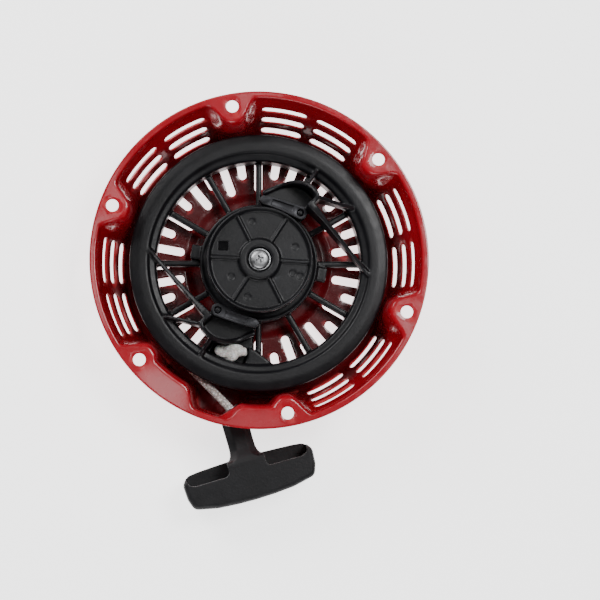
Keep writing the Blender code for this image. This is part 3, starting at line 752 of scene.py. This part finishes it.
def add_face(bm):
    border = [tuple(polar(a, JOIN_R).xy) for a in wall_columns()[:-1]]
    rings = []
    for k in range(SLOT_COUNT):
        start, end = SLOT_INNER_R[k % 2] + SLOT_HALF, SLOT_OUTER_R - SLOT_HALF
        outline = arc((start, 0), SLOT_HALF, 270, 90, 9) + arc((end, 0), SLOT_HALF, 90, -90, 9)
        turn = Matrix.Rotation(math.radians(360 / SLOT_COUNT * k), 2)
        rings.append([tuple(turn @ Vector(p)) for p in subdivided(outline, FACE_EDGE_GRID)])
    points = [(0.0, 0.0)]
    for radius in np.concatenate([np.linspace(4, 40, 10), np.linspace(42, JOIN_R - 1.3, 28)]):
        count = max(8, round(2 * math.pi * radius / FACE_GRID))
        points += [tuple(polar(360 * (k + 0.5) / count, radius).xy) for k in range(count)]
    verts, faces = fill(points, rings, border)
    radii, heights = face_profile()
    made = []
    for p in verts:
        z = float(np.interp(p.length, radii, heights))
        made.append(bm.verts.new(Vector((p.x, p.y, z)) * MM))
    for face in faces:
        bm.faces.new([made[i] for i in face])


make_case()


# ---------------------------------------------------------------- reel

# Walls as (x, y, bottom, top) points, some with their own thickness.  The reel has each of them
# again, half a turn round.
WING = (
    (2.4, 45.4, 19.0, 24.0), (14.0, 50.5, 19.0, 24.1), (22.5, 51.4, 19.0, 33.0),
    (29.9, 49.2, 19.0, 41.0), (35.3, 44.4, 19.0, 45.5), (37.2, 40.2, 19.0, 46.0),
)
WING_HOOK = ((37.2, 40.2, 19.3, 45.4), (32.6, 35.8, 19.3, 45.4))
WING_BAR = (
    (31.5, 36.7, 19.0, 45.6, 4.4), (35.0, 33.0, 19.0, 45.2, 4.4), (42.0, 25.2, 19.0, 42.0, 3.0),
    (57.2, 7.8, 19.0, 33.5, 2.6), (66.4, -2.9, 19.0, 28.9, 2.6), (66.9, -3.5, 25.3, 28.6, 2.6),
    (71.2, -8.4, 25.3, 27.7, 2.6),
)
WING_RIBS = (
    ((30.2, 49.0, 18.0, 40.0), (35.0, 56.4, 18.0, 30.0), (35.4, 57.0, 25.3, 29.4),
     (37.4, 60.1, 25.3, 27.7)),
    ((37.4, 40.9, 18.2, 42.0), (55.8, 36.3, 18.2, 31.0), (56.4, 36.2, 25.3, 30.7),
     (61.0, 35.2, 25.3, 27.7)),
)
WING_WALL = 2.6
RIB_WALL = 2.2
SPOKE_COUNT = 12
SPOKE_WALL = 3.8
SPOKE_Z = (10.4, 17.5)
LUG_ANGLES = (-10.0, 170.0)
LUG_R = (37.0, 44.4)
LUG_Z = (12.4, 21.0)
LUG_WIDTH = 9.0
WING_FLOOR_Z = (19.4, 22.0)
KNOT_BLOCK = ((-6.0, -55.0), (-2.0, -56.5), (12.0, -67.4), (-9.5, -67.0))
KNOT_BLOCK_Z = (10.2, 21.4)
# Start and end angle, inner and outer radius.
KNOT_PLATE = (236.0, 266.0, 46.0, 66.8)
KNOT_PLATE_Z = (10.2, 11.8)


def smooth_path(points, steps=5):
    """A curve through the points, every coordinate eased between them."""
    p = np.array(points, float)
    p = np.vstack([2 * p[0] - p[1], p, 2 * p[-1] - p[-2]])
    run = []
    for a, b, c, d in zip(p, p[1:], p[2:], p[3:]):
        for f in np.arange(steps) / steps:
            run.append(0.5 * (2 * b + (c - a) * f + (2 * a - 5 * b + 4 * c - d) * f ** 2
                              + (3 * b - a - 3 * c + d) * f ** 3))
    return [tuple(q) for q in run] + [tuple(p[-2])]


def radial_wall(bm, angle, radii, z, width):
    a, b = (polar(angle, radius) for radius in radii)
    ribbon(bm, [(a.x, a.y, *z), (b.x, b.y, *z)], width)


def reel_solids():
    bm = bmesh.new()
    lathe(bm, rounded_loop([(7.4, 4.8, 0), (TUBE_R, 4.8, 0), (TUBE_R, 20.0, 1.0), (35.5, 20.0, 1.0),
                            (35.5, 4.8, 0.3), (HUB_R, 4.8, 0.5), (HUB_R, 23.0, 0.7),
                            (36.4, 23.0, 0.5), (36.0, 22.3, 0.4), (TUBE_R + 1.6, 22.3, 0.6),
                            (TUBE_R, 24.5, 1.0), (TUBE_R, 33.6, 0.5), (7.4, 33.6, 0.3)], 3), 120)
    low, high = GROOVE
    lathe(bm, rounded_loop([(66.0, 9.5, 0.5), (82.0, 9.5, 0.6), (82.0, low, 0.4), (CORE_R, low, 0.4),
                            (CORE_R, high, 0.4), (REEL_R, high, 0.5), (REEL_R, REEL_TOP - 1.1, 1.2),
                            (77.5, REEL_TOP, 14.0), (71.8, REEL_TOP - 0.2, 1.0), (70.6, 26.0, 1.0),
                            (67.0, 25.4, 1.2), (66.0, 23.6, 0.8)], 4), 180)
    for k in range(SPOKE_COUNT):
        angle = 360 / SPOKE_COUNT * k
        radial_wall(bm, angle, (HUB_R - 1.2, CORE_R - 1.5), SPOKE_Z, SPOKE_WALL)
    for angle in LUG_ANGLES:
        radial_wall(bm, angle, LUG_R, LUG_Z, LUG_WIDTH)
    floor_edge = [p[:2] for p in smooth_path(WING)] + [(31.0, 31.2)] + arc((0, 0), 36.4, 46, 87, 6)
    for turn in (False, True):
        side = half_turn if turn else list
        ribbon(bm, side(smooth_path(WING)), WING_WALL)
        ribbon(bm, side(WING_HOOK), WING_WALL)
        ribbon(bm, side(WING_BAR), WING_WALL)
        for rib in WING_RIBS:
            ribbon(bm, side(rib), RIB_WALL)
        prism(bm, side(floor_edge), *WING_FLOOR_Z)
        pin = Vector(side([RATCHET_PIVOT])[0])
        cylinder(bm, (pin.x, pin.y, 27.0), UP, 2.0, 12.0, 24)
        cylinder(bm, (pin.x, pin.y, 21.6), UP, 4.0, 3.6, 32, 3.2)
    prism(bm, KNOT_BLOCK, *KNOT_BLOCK_Z)
    start, end, near_r, far_r = KNOT_PLATE
    plate = arc((0, 0), far_r, start, end, 12) + arc((0, 0), near_r, end, start, 12)
    prism(bm, plate, *KNOT_PLATE_Z)
    return object_from("reel_body", bm)


def thin(obj, ratio):
    """Spend fewer triangles where the surface is flat."""
    mod = obj.modifiers.new("thin", "DECIMATE")
    mod.ratio = ratio
    return bake_modifiers(obj, 60.0)


def make_reel():
    reel = thin(moulded(reel_solids(), 0.65, 3), 0.4)
    return settle(reel, "reel", "reel_black", REEL_BLACK, "reel")


# ---------------------------------------------------------------- guide, ratchets and metalwork

GUIDE_RIB_COUNT = 6
GUIDE_RIB_ANGLE = 57.0
# The square hole's angle, radius and half side, and each round mark's angle, radius and floor.
GUIDE_WINDOW = (159.5, 24.6, 3.0)
GUIDE_MARKS = ((-22.0, 22.6, 42.5), (101.5, 24.8, 42.5), (211.0, 21.0, 42.5),
               (338.0, 27.6, 42.5), (252.0, 25.0, 43.3), (20.0, 24.0, 43.3))
RATCHET_EYE_R = 4.3
RATCHET_HOLE_R = 2.3
SPRING_Z = (6.2, 17.2)


def add_marks(bm):
    for angle, radius, floor in GUIDE_MARKS:
        cylinder(bm, polar(angle, radius, floor + 0.7), UP, 2.3, 2.2)


def make_guide():
    bm = bmesh.new()
    bore, wall = 5.4, GUIDE_R - 1.4
    lathe(bm, rounded_loop([(bore, 35.2, 0.2), (13.0, 35.2, 0.4), (13.0, 40.0, 0.5), (wall, 40.0, 0.8),
                            (wall, 36.0, 0.3), (GUIDE_R, 36.0, 0.4), (GUIDE_R, GUIDE_TOP, 0.9),
                            (wall + 0.4, GUIDE_TOP, 0.4), (wall, 46.0, 0.3), (wall - 0.5, 45.6, 0.3),
                            (wall - 0.7, 42.5, 0.6), (13.6, 42.5, 0.6), (12.9, 46.0, 0.6),
                            (12.2, 46.6, 0.3), (8.6, 46.6, 0.4), (7.8, 45.8, 0.2), (7.8, 43.4, 0.2),
                            (bore, 43.4, 0.1)], 3), 144)
    for k in range(GUIDE_RIB_COUNT):
        angle = GUIDE_RIB_ANGLE + 360 / GUIDE_RIB_COUNT * k
        a, b = polar(angle, 12.2), polar(angle, wall)
        ribbon(bm, [(a.x, a.y, 41.5, 45.6), (b.x, b.y, 41.5, 44.9)], 1.8)
    for k in range(3):
        start = 120 * k - 2
        sector = arc((0, 0), wall - 0.5, start + 0.5, start + 58.5, 24)
        sector += arc((0, 0), 12.8, start + 58, start + 1, 10)
        prism(bm, sector, 42.0, 43.3)
    guide = moulded(object_from("guide_body", bm), 0.42, 0)
    angle, radius, half = GUIDE_WINDOW
    middle = polar(angle, radius)
    square = [(middle.x + half * x, middle.y + half * y) for x, y in ((-1, -1), (1, -1), (1, 1), (-1, 1))]
    tools = [cut_out(guide, "window", prism, square, 38, 46), cut_out(guide, "marks", add_marks)]
    bake_modifiers(guide)
    drop(*tools)
    guide = thin(moulded(guide, 0.40, 2), 0.5)
    return settle(guide, "guide", "guide_black", GUIDE_BLACK, "ratchet_guide")


def bevelled(obj, width, segments=2, angle=30.0):
    mod = obj.modifiers.new("edges", "BEVEL")
    mod.width = width * MM
    mod.segments = segments
    mod.limit_method = "ANGLE"
    mod.angle_limit = math.radians(angle)
    return bake_modifiers(obj)


def make_ratchet(name, turn):
    pivot, tip = RATCHET_PIVOT.xy, RATCHET_TIP.xy
    along = (tip - pivot).normalized()
    out = Vector((along.y, -along.x))
    reach = (tip - pivot).length
    heading = math.degrees(math.atan2(along.y, along.x))
    eye = [Vector(p) for p in arc(pivot, RATCHET_EYE_R, heading - 100, heading - 260, 24)]
    arm = [pivot + along * reach * 0.3 + out * 4.1, pivot + along * reach * 0.55 + out * 4.0,
           pivot + along * reach * 0.8 + out * 3.6, tip + out * 3.0, tip + along * 1.6 - out * 0.6,
           tip - along * 1.5 - out * 2.6, pivot + along * reach * 0.5 - out * 2.6]
    if (eye[-1] - pivot).dot(out) < 0:
        arm.reverse()
    hole = circle(pivot, RATCHET_HOLE_R)
    relief = [pivot + along * 5.4 + out * 2.6, pivot + along * reach * 0.74 + out * 2.4,
              pivot + along * reach * 0.74 - out * 1.2, pivot + along * 5.4 - out * 1.2]
    side = half_turn if turn else list
    low, high = RATCHET_Z
    bm = bmesh.new()
    prism(bm, side(eye + arm), low, high)
    ratchet = object_from(name + "_body", bm)
    tools = [cut_out(ratchet, "eye", prism, side(hole), low - 2, high + 2),
             cut_out(ratchet, "relief", prism, side(relief), high - 1.0, high + 2)]
    bake_modifiers(ratchet)
    drop(*tools)
    bevelled(ratchet, 0.35)
    return settle(ratchet, name, "dark_steel", DARK_STEEL, name)


def make_screw():
    """A domed head with a cross recess, its washer face and its shank."""
    under, top = 43.5, 47.6
    bm = bmesh.new()
    lathe_solid(bm, [(0.05, 14.0), (2.2, 14.0), (2.5, 14.4), (2.5, under), (5.0, under), (6.9, under),
                     (7.1, under + 0.15), (7.1, under + 0.8), (6.9, under + 1.0), (6.3, under + 1.05),
                     (6.2, under + 2.2), (5.8, top - 1.05), (5.0, top - 0.5), (3.8, top - 0.15),
                     (2.2, top), (0.05, top)], 64)
    screw = object_from("screw_body", bm, 40.0)
    tools = []
    for angle in (20.0, 110.0):
        rings = []
        for share, z in ((0.55, top - 1.9), (1.15, top + 1.0)):
            run, side = polar(angle, 2.7 * share), polar(angle + 90, 0.55 * share)
            corners = (run + side, side - run, -run - side, run - side)
            rings.append([(q.x, q.y, z) for q in corners])
        tools.append(cut_out(screw, "recess", loft, rings))
    bake_modifiers(screw, 40.0)
    drop(*tools)
    return settle(screw, "case", "zinc_plate", ZINC, "centre_screw")


def make_eyelet():
    bm = bmesh.new()
    lathe(bm, rounded_loop([(3.7, -1.2, 0.6), (5.6, -1.2, 0.4), (5.6, -0.4, 0.3), (4.45, -0.4, 0.1),
                            (4.45, 1.7, 0.1), (5.4, 1.7, 0.3), (5.4, 2.5, 0.4), (3.7, 2.5, 0.6)], 4), 64)
    turn = polar(FACET_ANGLE, 1.0).to_track_quat("Z", "Y").to_matrix().to_4x4()
    bm.transform(Matrix.Translation(EYELET * MM) @ turn)
    return settle(object_from("eyelet", bm), "case", "plain_steel", STEEL, "rope_eyelet")


def make_recoil_spring():
    """A flat strip on edge, wound evenly out from beside the post to the cup's wall."""
    turns, inner, outer = 5, 12.4, 33.6
    count = 64 * turns
    points = []
    for i in range(count + 1):
        share = i / count
        p = polar(360 * turns * share, inner + (outer - inner) * share)
        points.append((p.x, p.y, *SPRING_Z))
    bm = bmesh.new()
    ribbon(bm, points, 0.8)
    spring = bevelled(object_from("spring_strip", bm), 0.12, 1)
    return settle(spring, "case", "plain_steel", STEEL, "recoil_spring")


# ---------------------------------------------------------------- rope

STRANDS = 8
STRAND_PITCH = 17.0
BRAID_DEPTH = 0.42
ROPE_SIDES = 48
ROPE_SPACING = 0.42
WINDING_START = 224.0
# The knot formula's reach in x, by which its x and y are divided.
KNOT_REACH = 2.76


def resample(points, spacing):
    """The same line with even spacing."""
    points = np.asarray(points, float)
    steps = np.linalg.norm(np.diff(points, axis=0), axis=1)
    along = np.concatenate([[0.0], np.cumsum(steps)])
    count = max(2, round(along[-1] / spacing) + 1)
    s = np.linspace(0.0, along[-1], count)
    return np.stack([np.interp(s, along, points[:, k]) for k in range(3)], axis=1), s


def normals_along(points):
    """Two steady normals at every point of a line."""
    tangents = np.gradient(points, axis=0)
    tangents /= np.linalg.norm(tangents, axis=1)[:, None]
    first = np.array([0.0, 0.0, 1.0])
    if abs(tangents[0] @ first) > 0.9:
        first = np.array([1.0, 0.0, 0.0])
    normals = [first]
    for t in tangents:
        normal = normals[-1] - t * (normals[-1] @ t)
        normals.append(normal / np.linalg.norm(normal))
    normals = np.array(normals[1:])
    return normals, np.cross(tangents, normals)


def braid_height(turn, s):
    """From 0 to 1: two families of strands, passing over and under each other."""
    u = turn * STRANDS + s * STRANDS / STRAND_PITCH
    v = turn * STRANDS - s * STRANDS / STRAND_PITCH
    over = (np.floor(u) + np.floor(v)) % 2 < 1
    across = np.where(over, u % 1.0, v % 1.0)
    along = np.where(over, v % 1.0, u % 1.0)
    return np.sin(np.pi * across) ** 0.55 * (0.45 + 0.55 * np.sin(np.pi * along) ** 0.7)


def tube_along(name, points, radius, sides, spacing, braid, stretch=(1.0, 1.0), taper=0.0):
    """A tube with a braided skin along a line, closed at its ends, stretched across and up."""
    points, s = resample(points, spacing)
    across, up = normals_along(points)
    turn = np.arange(sides) / sides
    grid_turn, grid_s = np.meshgrid(turn, s)
    r = radius - braid * (1.0 - braid_height(grid_turn, grid_s))
    if taper:
        ends = np.minimum(grid_s, s[-1] - grid_s) / taper
        r = r * np.sqrt(np.clip(1 - (1 - np.clip(ends, 0, 1)) ** 2, 0.02, 1))
    cos, sin = np.cos(2 * np.pi * turn), np.sin(2 * np.pi * turn)
    outward = (stretch[0] * cos[None, :, None] * across[:, None, :]
               + stretch[1] * sin[None, :, None] * up[:, None, :])
    spots = points[:, None, :] + r[:, :, None] * outward
    bm = bmesh.new()
    loft(bm, [[tuple(p) for p in ring] for ring in spots])
    return object_from(name, bm, 80.0)


def make_rope_runs():
    """The run from the winding to the eyelet, and the one from there to the grip."""
    leaves = Vector((0.695, -0.719, 0.0)).normalized()
    away = Vector((-leaves.y, leaves.x, 0.0))
    start = away * -(WINDING_R + ROPE_R + 0.3)
    start.z = ROPE_Z
    heading = (EYELET - start).normalized()
    shape = (ROPE_R, ROPE_SIDES, ROPE_SPACING, BRAID_DEPTH)
    inner = tube_along("rope_inner", [start, EYELET - heading], *shape)
    settle(inner, "case", "white_cord", CORD, "rope_inner_run")
    outer = tube_along("rope_outer", [EYELET + PULL, grip_place(21.2)], *shape)
    settle(outer, None, "white_cord", CORD, "rope_outer_run")
    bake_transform(outer)


def make_winding():
    """Four turns of rope, two side by side and two over them, flattened by the tension."""
    turns_per_layer = 2
    flat, wide = 1.62, 2.85
    points = []
    for layer, radius in enumerate((CORE_R + 0.3 + flat, CORE_R + 0.5 + 3 * flat)):
        low, high = GROOVE[0] + 0.45 + wide, GROOVE[1] - 0.45 - wide
        count = 180 * turns_per_layer
        for i in range(count + 1):
            share = i / count
            rise = share if layer == 0 else 1 - share
            step = float(smooth((rise * turns_per_layer - 0.85) / 0.3))
            p = polar(WINDING_START + 360 * turns_per_layer * (layer + share), radius)
            points.append((p.x, p.y, low + (high - low) * step))
    coil = tube_along("rope_turns", points, 1.0, 20, 0.9, 0.14, (wide, flat))
    return settle(coil, "reel", "white_cord", CORD, "rope_winding")


def knot(name, centre, half, thickness, body, node, tail=None):
    """An overhand knot pulled tight, fused where its strands press together."""
    t = np.linspace(0, 2 * np.pi, 160, endpoint=False)[:-6]
    x, y, z = np.sin(t) + 2 * np.sin(2 * t), np.cos(t) - 2 * np.cos(2 * t), -np.sin(3 * t)
    room = np.array(half) - thickness
    loop = np.stack([x / KNOT_REACH, y / KNOT_REACH, z], axis=1) * room + np.array(centre)
    if tail is not None:
        reach = np.outer(np.linspace(0.1, 1, 12), np.array(tail) - loop[-1])
        loop = np.vstack([loop, loop[-1] + reach])
    rope = tube_along(name, loop, thickness, 40, 0.4, BRAID_DEPTH * 0.9, taper=1.0)
    rope = moulded(rope, 0.28, 1, 80.0)
    return settle(rope, body, "white_cord", KNOT_CORD, node)


# ---------------------------------------------------------------- grip

# Outlines as (across the pull, along it, corner radius), the first one for half of the bar.
BAR_HALF = ((0.0, 18.5, 0), (12.0, 18.5, 3.0), (31.0, 19.4, 8.0), (39.2, 20.3, 5.0), (42.9, 25.2, 5.0),
            (42.3, 35.0, 6.0), (39.8, 42.0, 5.0), (25.0, 45.2, 12.0), (12.0, 46.2, 12.0), (0.0, 46.5, 0))
POCKET = ((11.5, 12.0, 0.5), (39.4, 12.0, 0.5), (40.2, 28.0, 6.0), (38.4, 38.5, 4.0),
          (25.0, 41.6, 8.0), (11.5, 42.4, 2.5))
MOUTH = ((12.2, 12.0, 0.5), (39.7, 12.0, 0.5), (40.2, 22.5, 2.0), (38.6, 26.6, 3.0),
         (34.9, 27.8, 3.0), (12.2, 27.6, 3.5))
CHAMBER = ((-7.6, 19.0), (7.6, 19.0), (7.6, 37.0), (-7.6, 37.0))
# The stem's (distance along the pull, half width, bottom, top) on its way into the bar.
STEM_RINGS = ((-7.0, 8.5, 8.5, 27.5), (8.0, 8.3, 8.4, 27.7), (13.0, 8.4, 8.0, 28.4),
              (16.0, 9.0, 7.2, 29.4), (18.0, 10.2, 6.4, 30.2), (19.8, 12.2, 5.8, 30.7),
              (22.0, 13.0, 5.6, 30.8))
STEM_EDGE = 2.6


def flat_place(points):
    """Grip outline points, (across, along), in the scene's x and y."""
    return [grip_place(along, across).xy for across, along in points]


def stem_solid():
    """The stem, chamfered all round and flaring out into the bar."""
    rings = []
    for along, half, low, high in STEM_RINGS:
        flat = half - min(4.4, 0.52 * half)
        right = [(flat, low), (half, low + STEM_EDGE), (half, high - STEM_EDGE), (flat, high)]
        left = [(-across, z) for across, z in reversed(right)]
        rings.append([grip_place(along, across, z) for across, z in right + left])
    bm = bmesh.new()
    loft(bm, rings)
    return object_from("stem", bm)


def make_grip():
    right = rounded(BAR_HALF, 6)
    left = [Vector((-p.x, p.y)) for p in reversed(right[1:-1])]
    low, high = BAR_Z
    bm = bmesh.new()
    prism(bm, flat_place([tuple(p) for p in right + left]), low, high)
    grip = bevelled(object_from("grip_body", bm), 3.0, 5, 50.0)
    stem_piece = stem_solid()
    cut(grip, stem_piece, "UNION")
    tools = [stem_piece]
    for sign in (1, -1):
        for outline, bottom, top in ((POCKET, low + 2.8, high - 2.8), (MOUTH, high - 3.2, high + 3)):
            spots = [(sign * p.x, p.y) for p in rounded_loop(outline)]
            tools.append(cut_out(grip, "pocket", prism, flat_place(spots), bottom, top))
    tools.append(cut_out(grip, "chamber", prism, flat_place(CHAMBER), low - 3, 25.2))
    middle = (grip_place(-12.0) + grip_place(22.0)) / 2
    tools.append(cut_out(grip, "bore", cylinder, middle, PULL, 3.3, 34.0))
    bake_modifiers(grip)
    drop(*tools)
    grip = thin(moulded(grip, 0.5, 3), 0.6)
    return settle(grip, "handle", "grip_black", GRIP_BLACK, "grip")


def dress(node, mat):
    """Give a CAD node that stays in view its finish."""
    for material_slot in bpy.data.objects[node].material_slots:
        material_slot.material = mat


make_reel()
make_guide()
make_ratchet("ratchet_1", False)
make_ratchet("ratchet_2", True)
make_screw()
make_eyelet()
make_recoil_spring()
make_rope_runs()
make_winding()
knot("reel_knot_rope", (-18.8, -57.8, 20.4), (9.9, 6.2, 5.6), 2.8, "reel", "reel_knot",
     (-7.5, -57.4, 22.8))
knot("grip_knot_rope", tuple(grip_place(27.4)), (5.9, 5.9, 5.9), 2.3, "handle", "grip_knot")
make_grip()
for node in ("centre_post", "thrust_washer", "friction_spring", "ratchet_spring_1",
             "ratchet_spring_2", "grip_insert"):
    dress(node, STEEL)


# ---------------------------------------------------------------- studio

VIEW_DISTANCE = 1100.0
VIEW_FOOT = (-27.0, -119.0)
AIM = (25.4, -26.1)
VIEW_WIDTH = 379.0
LAMPS = (("key", (-900, 900, 900), (1.0, 0.7), 19.0), ("right", (500, 340, 1230), (0.45, 0.45), 10.0),
         ("front", (-200, -1250, 700), (0.9, 0.9), 10.0))
# Small lamps that the flat flange would mirror at (x, y), with their sizes and powers.
GLINTS = (
    (-61.0, -84.5, (0.06, 0.06), 0.09), (-104.0, -9.0, (0.05, 0.14), 0.14),
    (-3.0, 102.6, (0.06, 0.04), 0.03), (-6.0, -104.0, (0.09, 0.03), 0.018),
    (-89.3, 42.0, (0.04, 0.06), 0.035), (91.0, -43.0, (0.04, 0.05), 0.030),
)


def look_at(obj, place, target):
    forward = (target - place).normalized()
    right = forward.cross(Vector((0, 1, 0))).normalized()
    turn = Matrix((right, right.cross(forward), -forward)).transposed().to_4x4()
    obj.matrix_world = Matrix.Translation(place * MM) @ turn


def add_camera():
    data = bpy.data.cameras.new("camera")
    camera = bpy.data.objects.new("camera", data)
    bpy.context.scene.collection.objects.link(camera)
    place = Vector((*VIEW_FOOT, CASE_TOP + VIEW_DISTANCE))
    target = Vector((*AIM, CASE_TOP))
    look_at(camera, place, target)
    data.sensor_width = 36.0
    data.lens = data.sensor_width * (place - target).length / VIEW_WIDTH
    data.clip_start, data.clip_end = 0.05, 20.0
    bpy.context.scene.camera = camera


def add_area(name, place, target, size, power):
    data = bpy.data.lights.new(name, "AREA")
    data.shape = "RECTANGLE"
    data.size, data.size_y = size
    data.energy = power
    light = bpy.data.objects.new(name, data)
    bpy.context.scene.collection.objects.link(light)
    look_at(light, Vector(place), Vector(target))


def add_studio():
    bm = bmesh.new()
    bmesh.ops.create_grid(bm, x_segments=1, y_segments=1, size=6.0)
    floor = object_from("floor", bm)
    floor.location.z = -0.0002
    n = Nodes("floor_paper")
    n.set(Roughness=0.9, Emission_Color=(1.0, 1.0, 1.0, 1.0), Emission_Strength=2.2)
    tone = n.ramp(n.noise(3.0, 2.0), [(0.3, (0.88, 0.88, 0.88)), (0.7, (0.92, 0.92, 0.92))])
    n.set(Base_Color=tone)
    floor.data.materials.append(n.mat)
    for name, place, size, power in LAMPS:
        add_area(name, place, (0, 0, 0), size, power)
    for i, (x, y, size, power) in enumerate(GLINTS):
        mirrored = (2 * x - VIEW_FOOT[0], 2 * y - VIEW_FOOT[1], CASE_TOP + VIEW_DISTANCE)
        add_area(f"glint_{i}", mirrored, (x, y, 0), size, power)
    world = bpy.data.worlds.new("studio")
    bpy.context.scene.world = world
    world.use_nodes = True
    back = world.node_tree.nodes["Background"]
    back.inputs["Color"].default_value = (1.0, 1.0, 1.0, 1.0)
    back.inputs["Strength"].default_value = 0.09


add_camera()
add_studio()
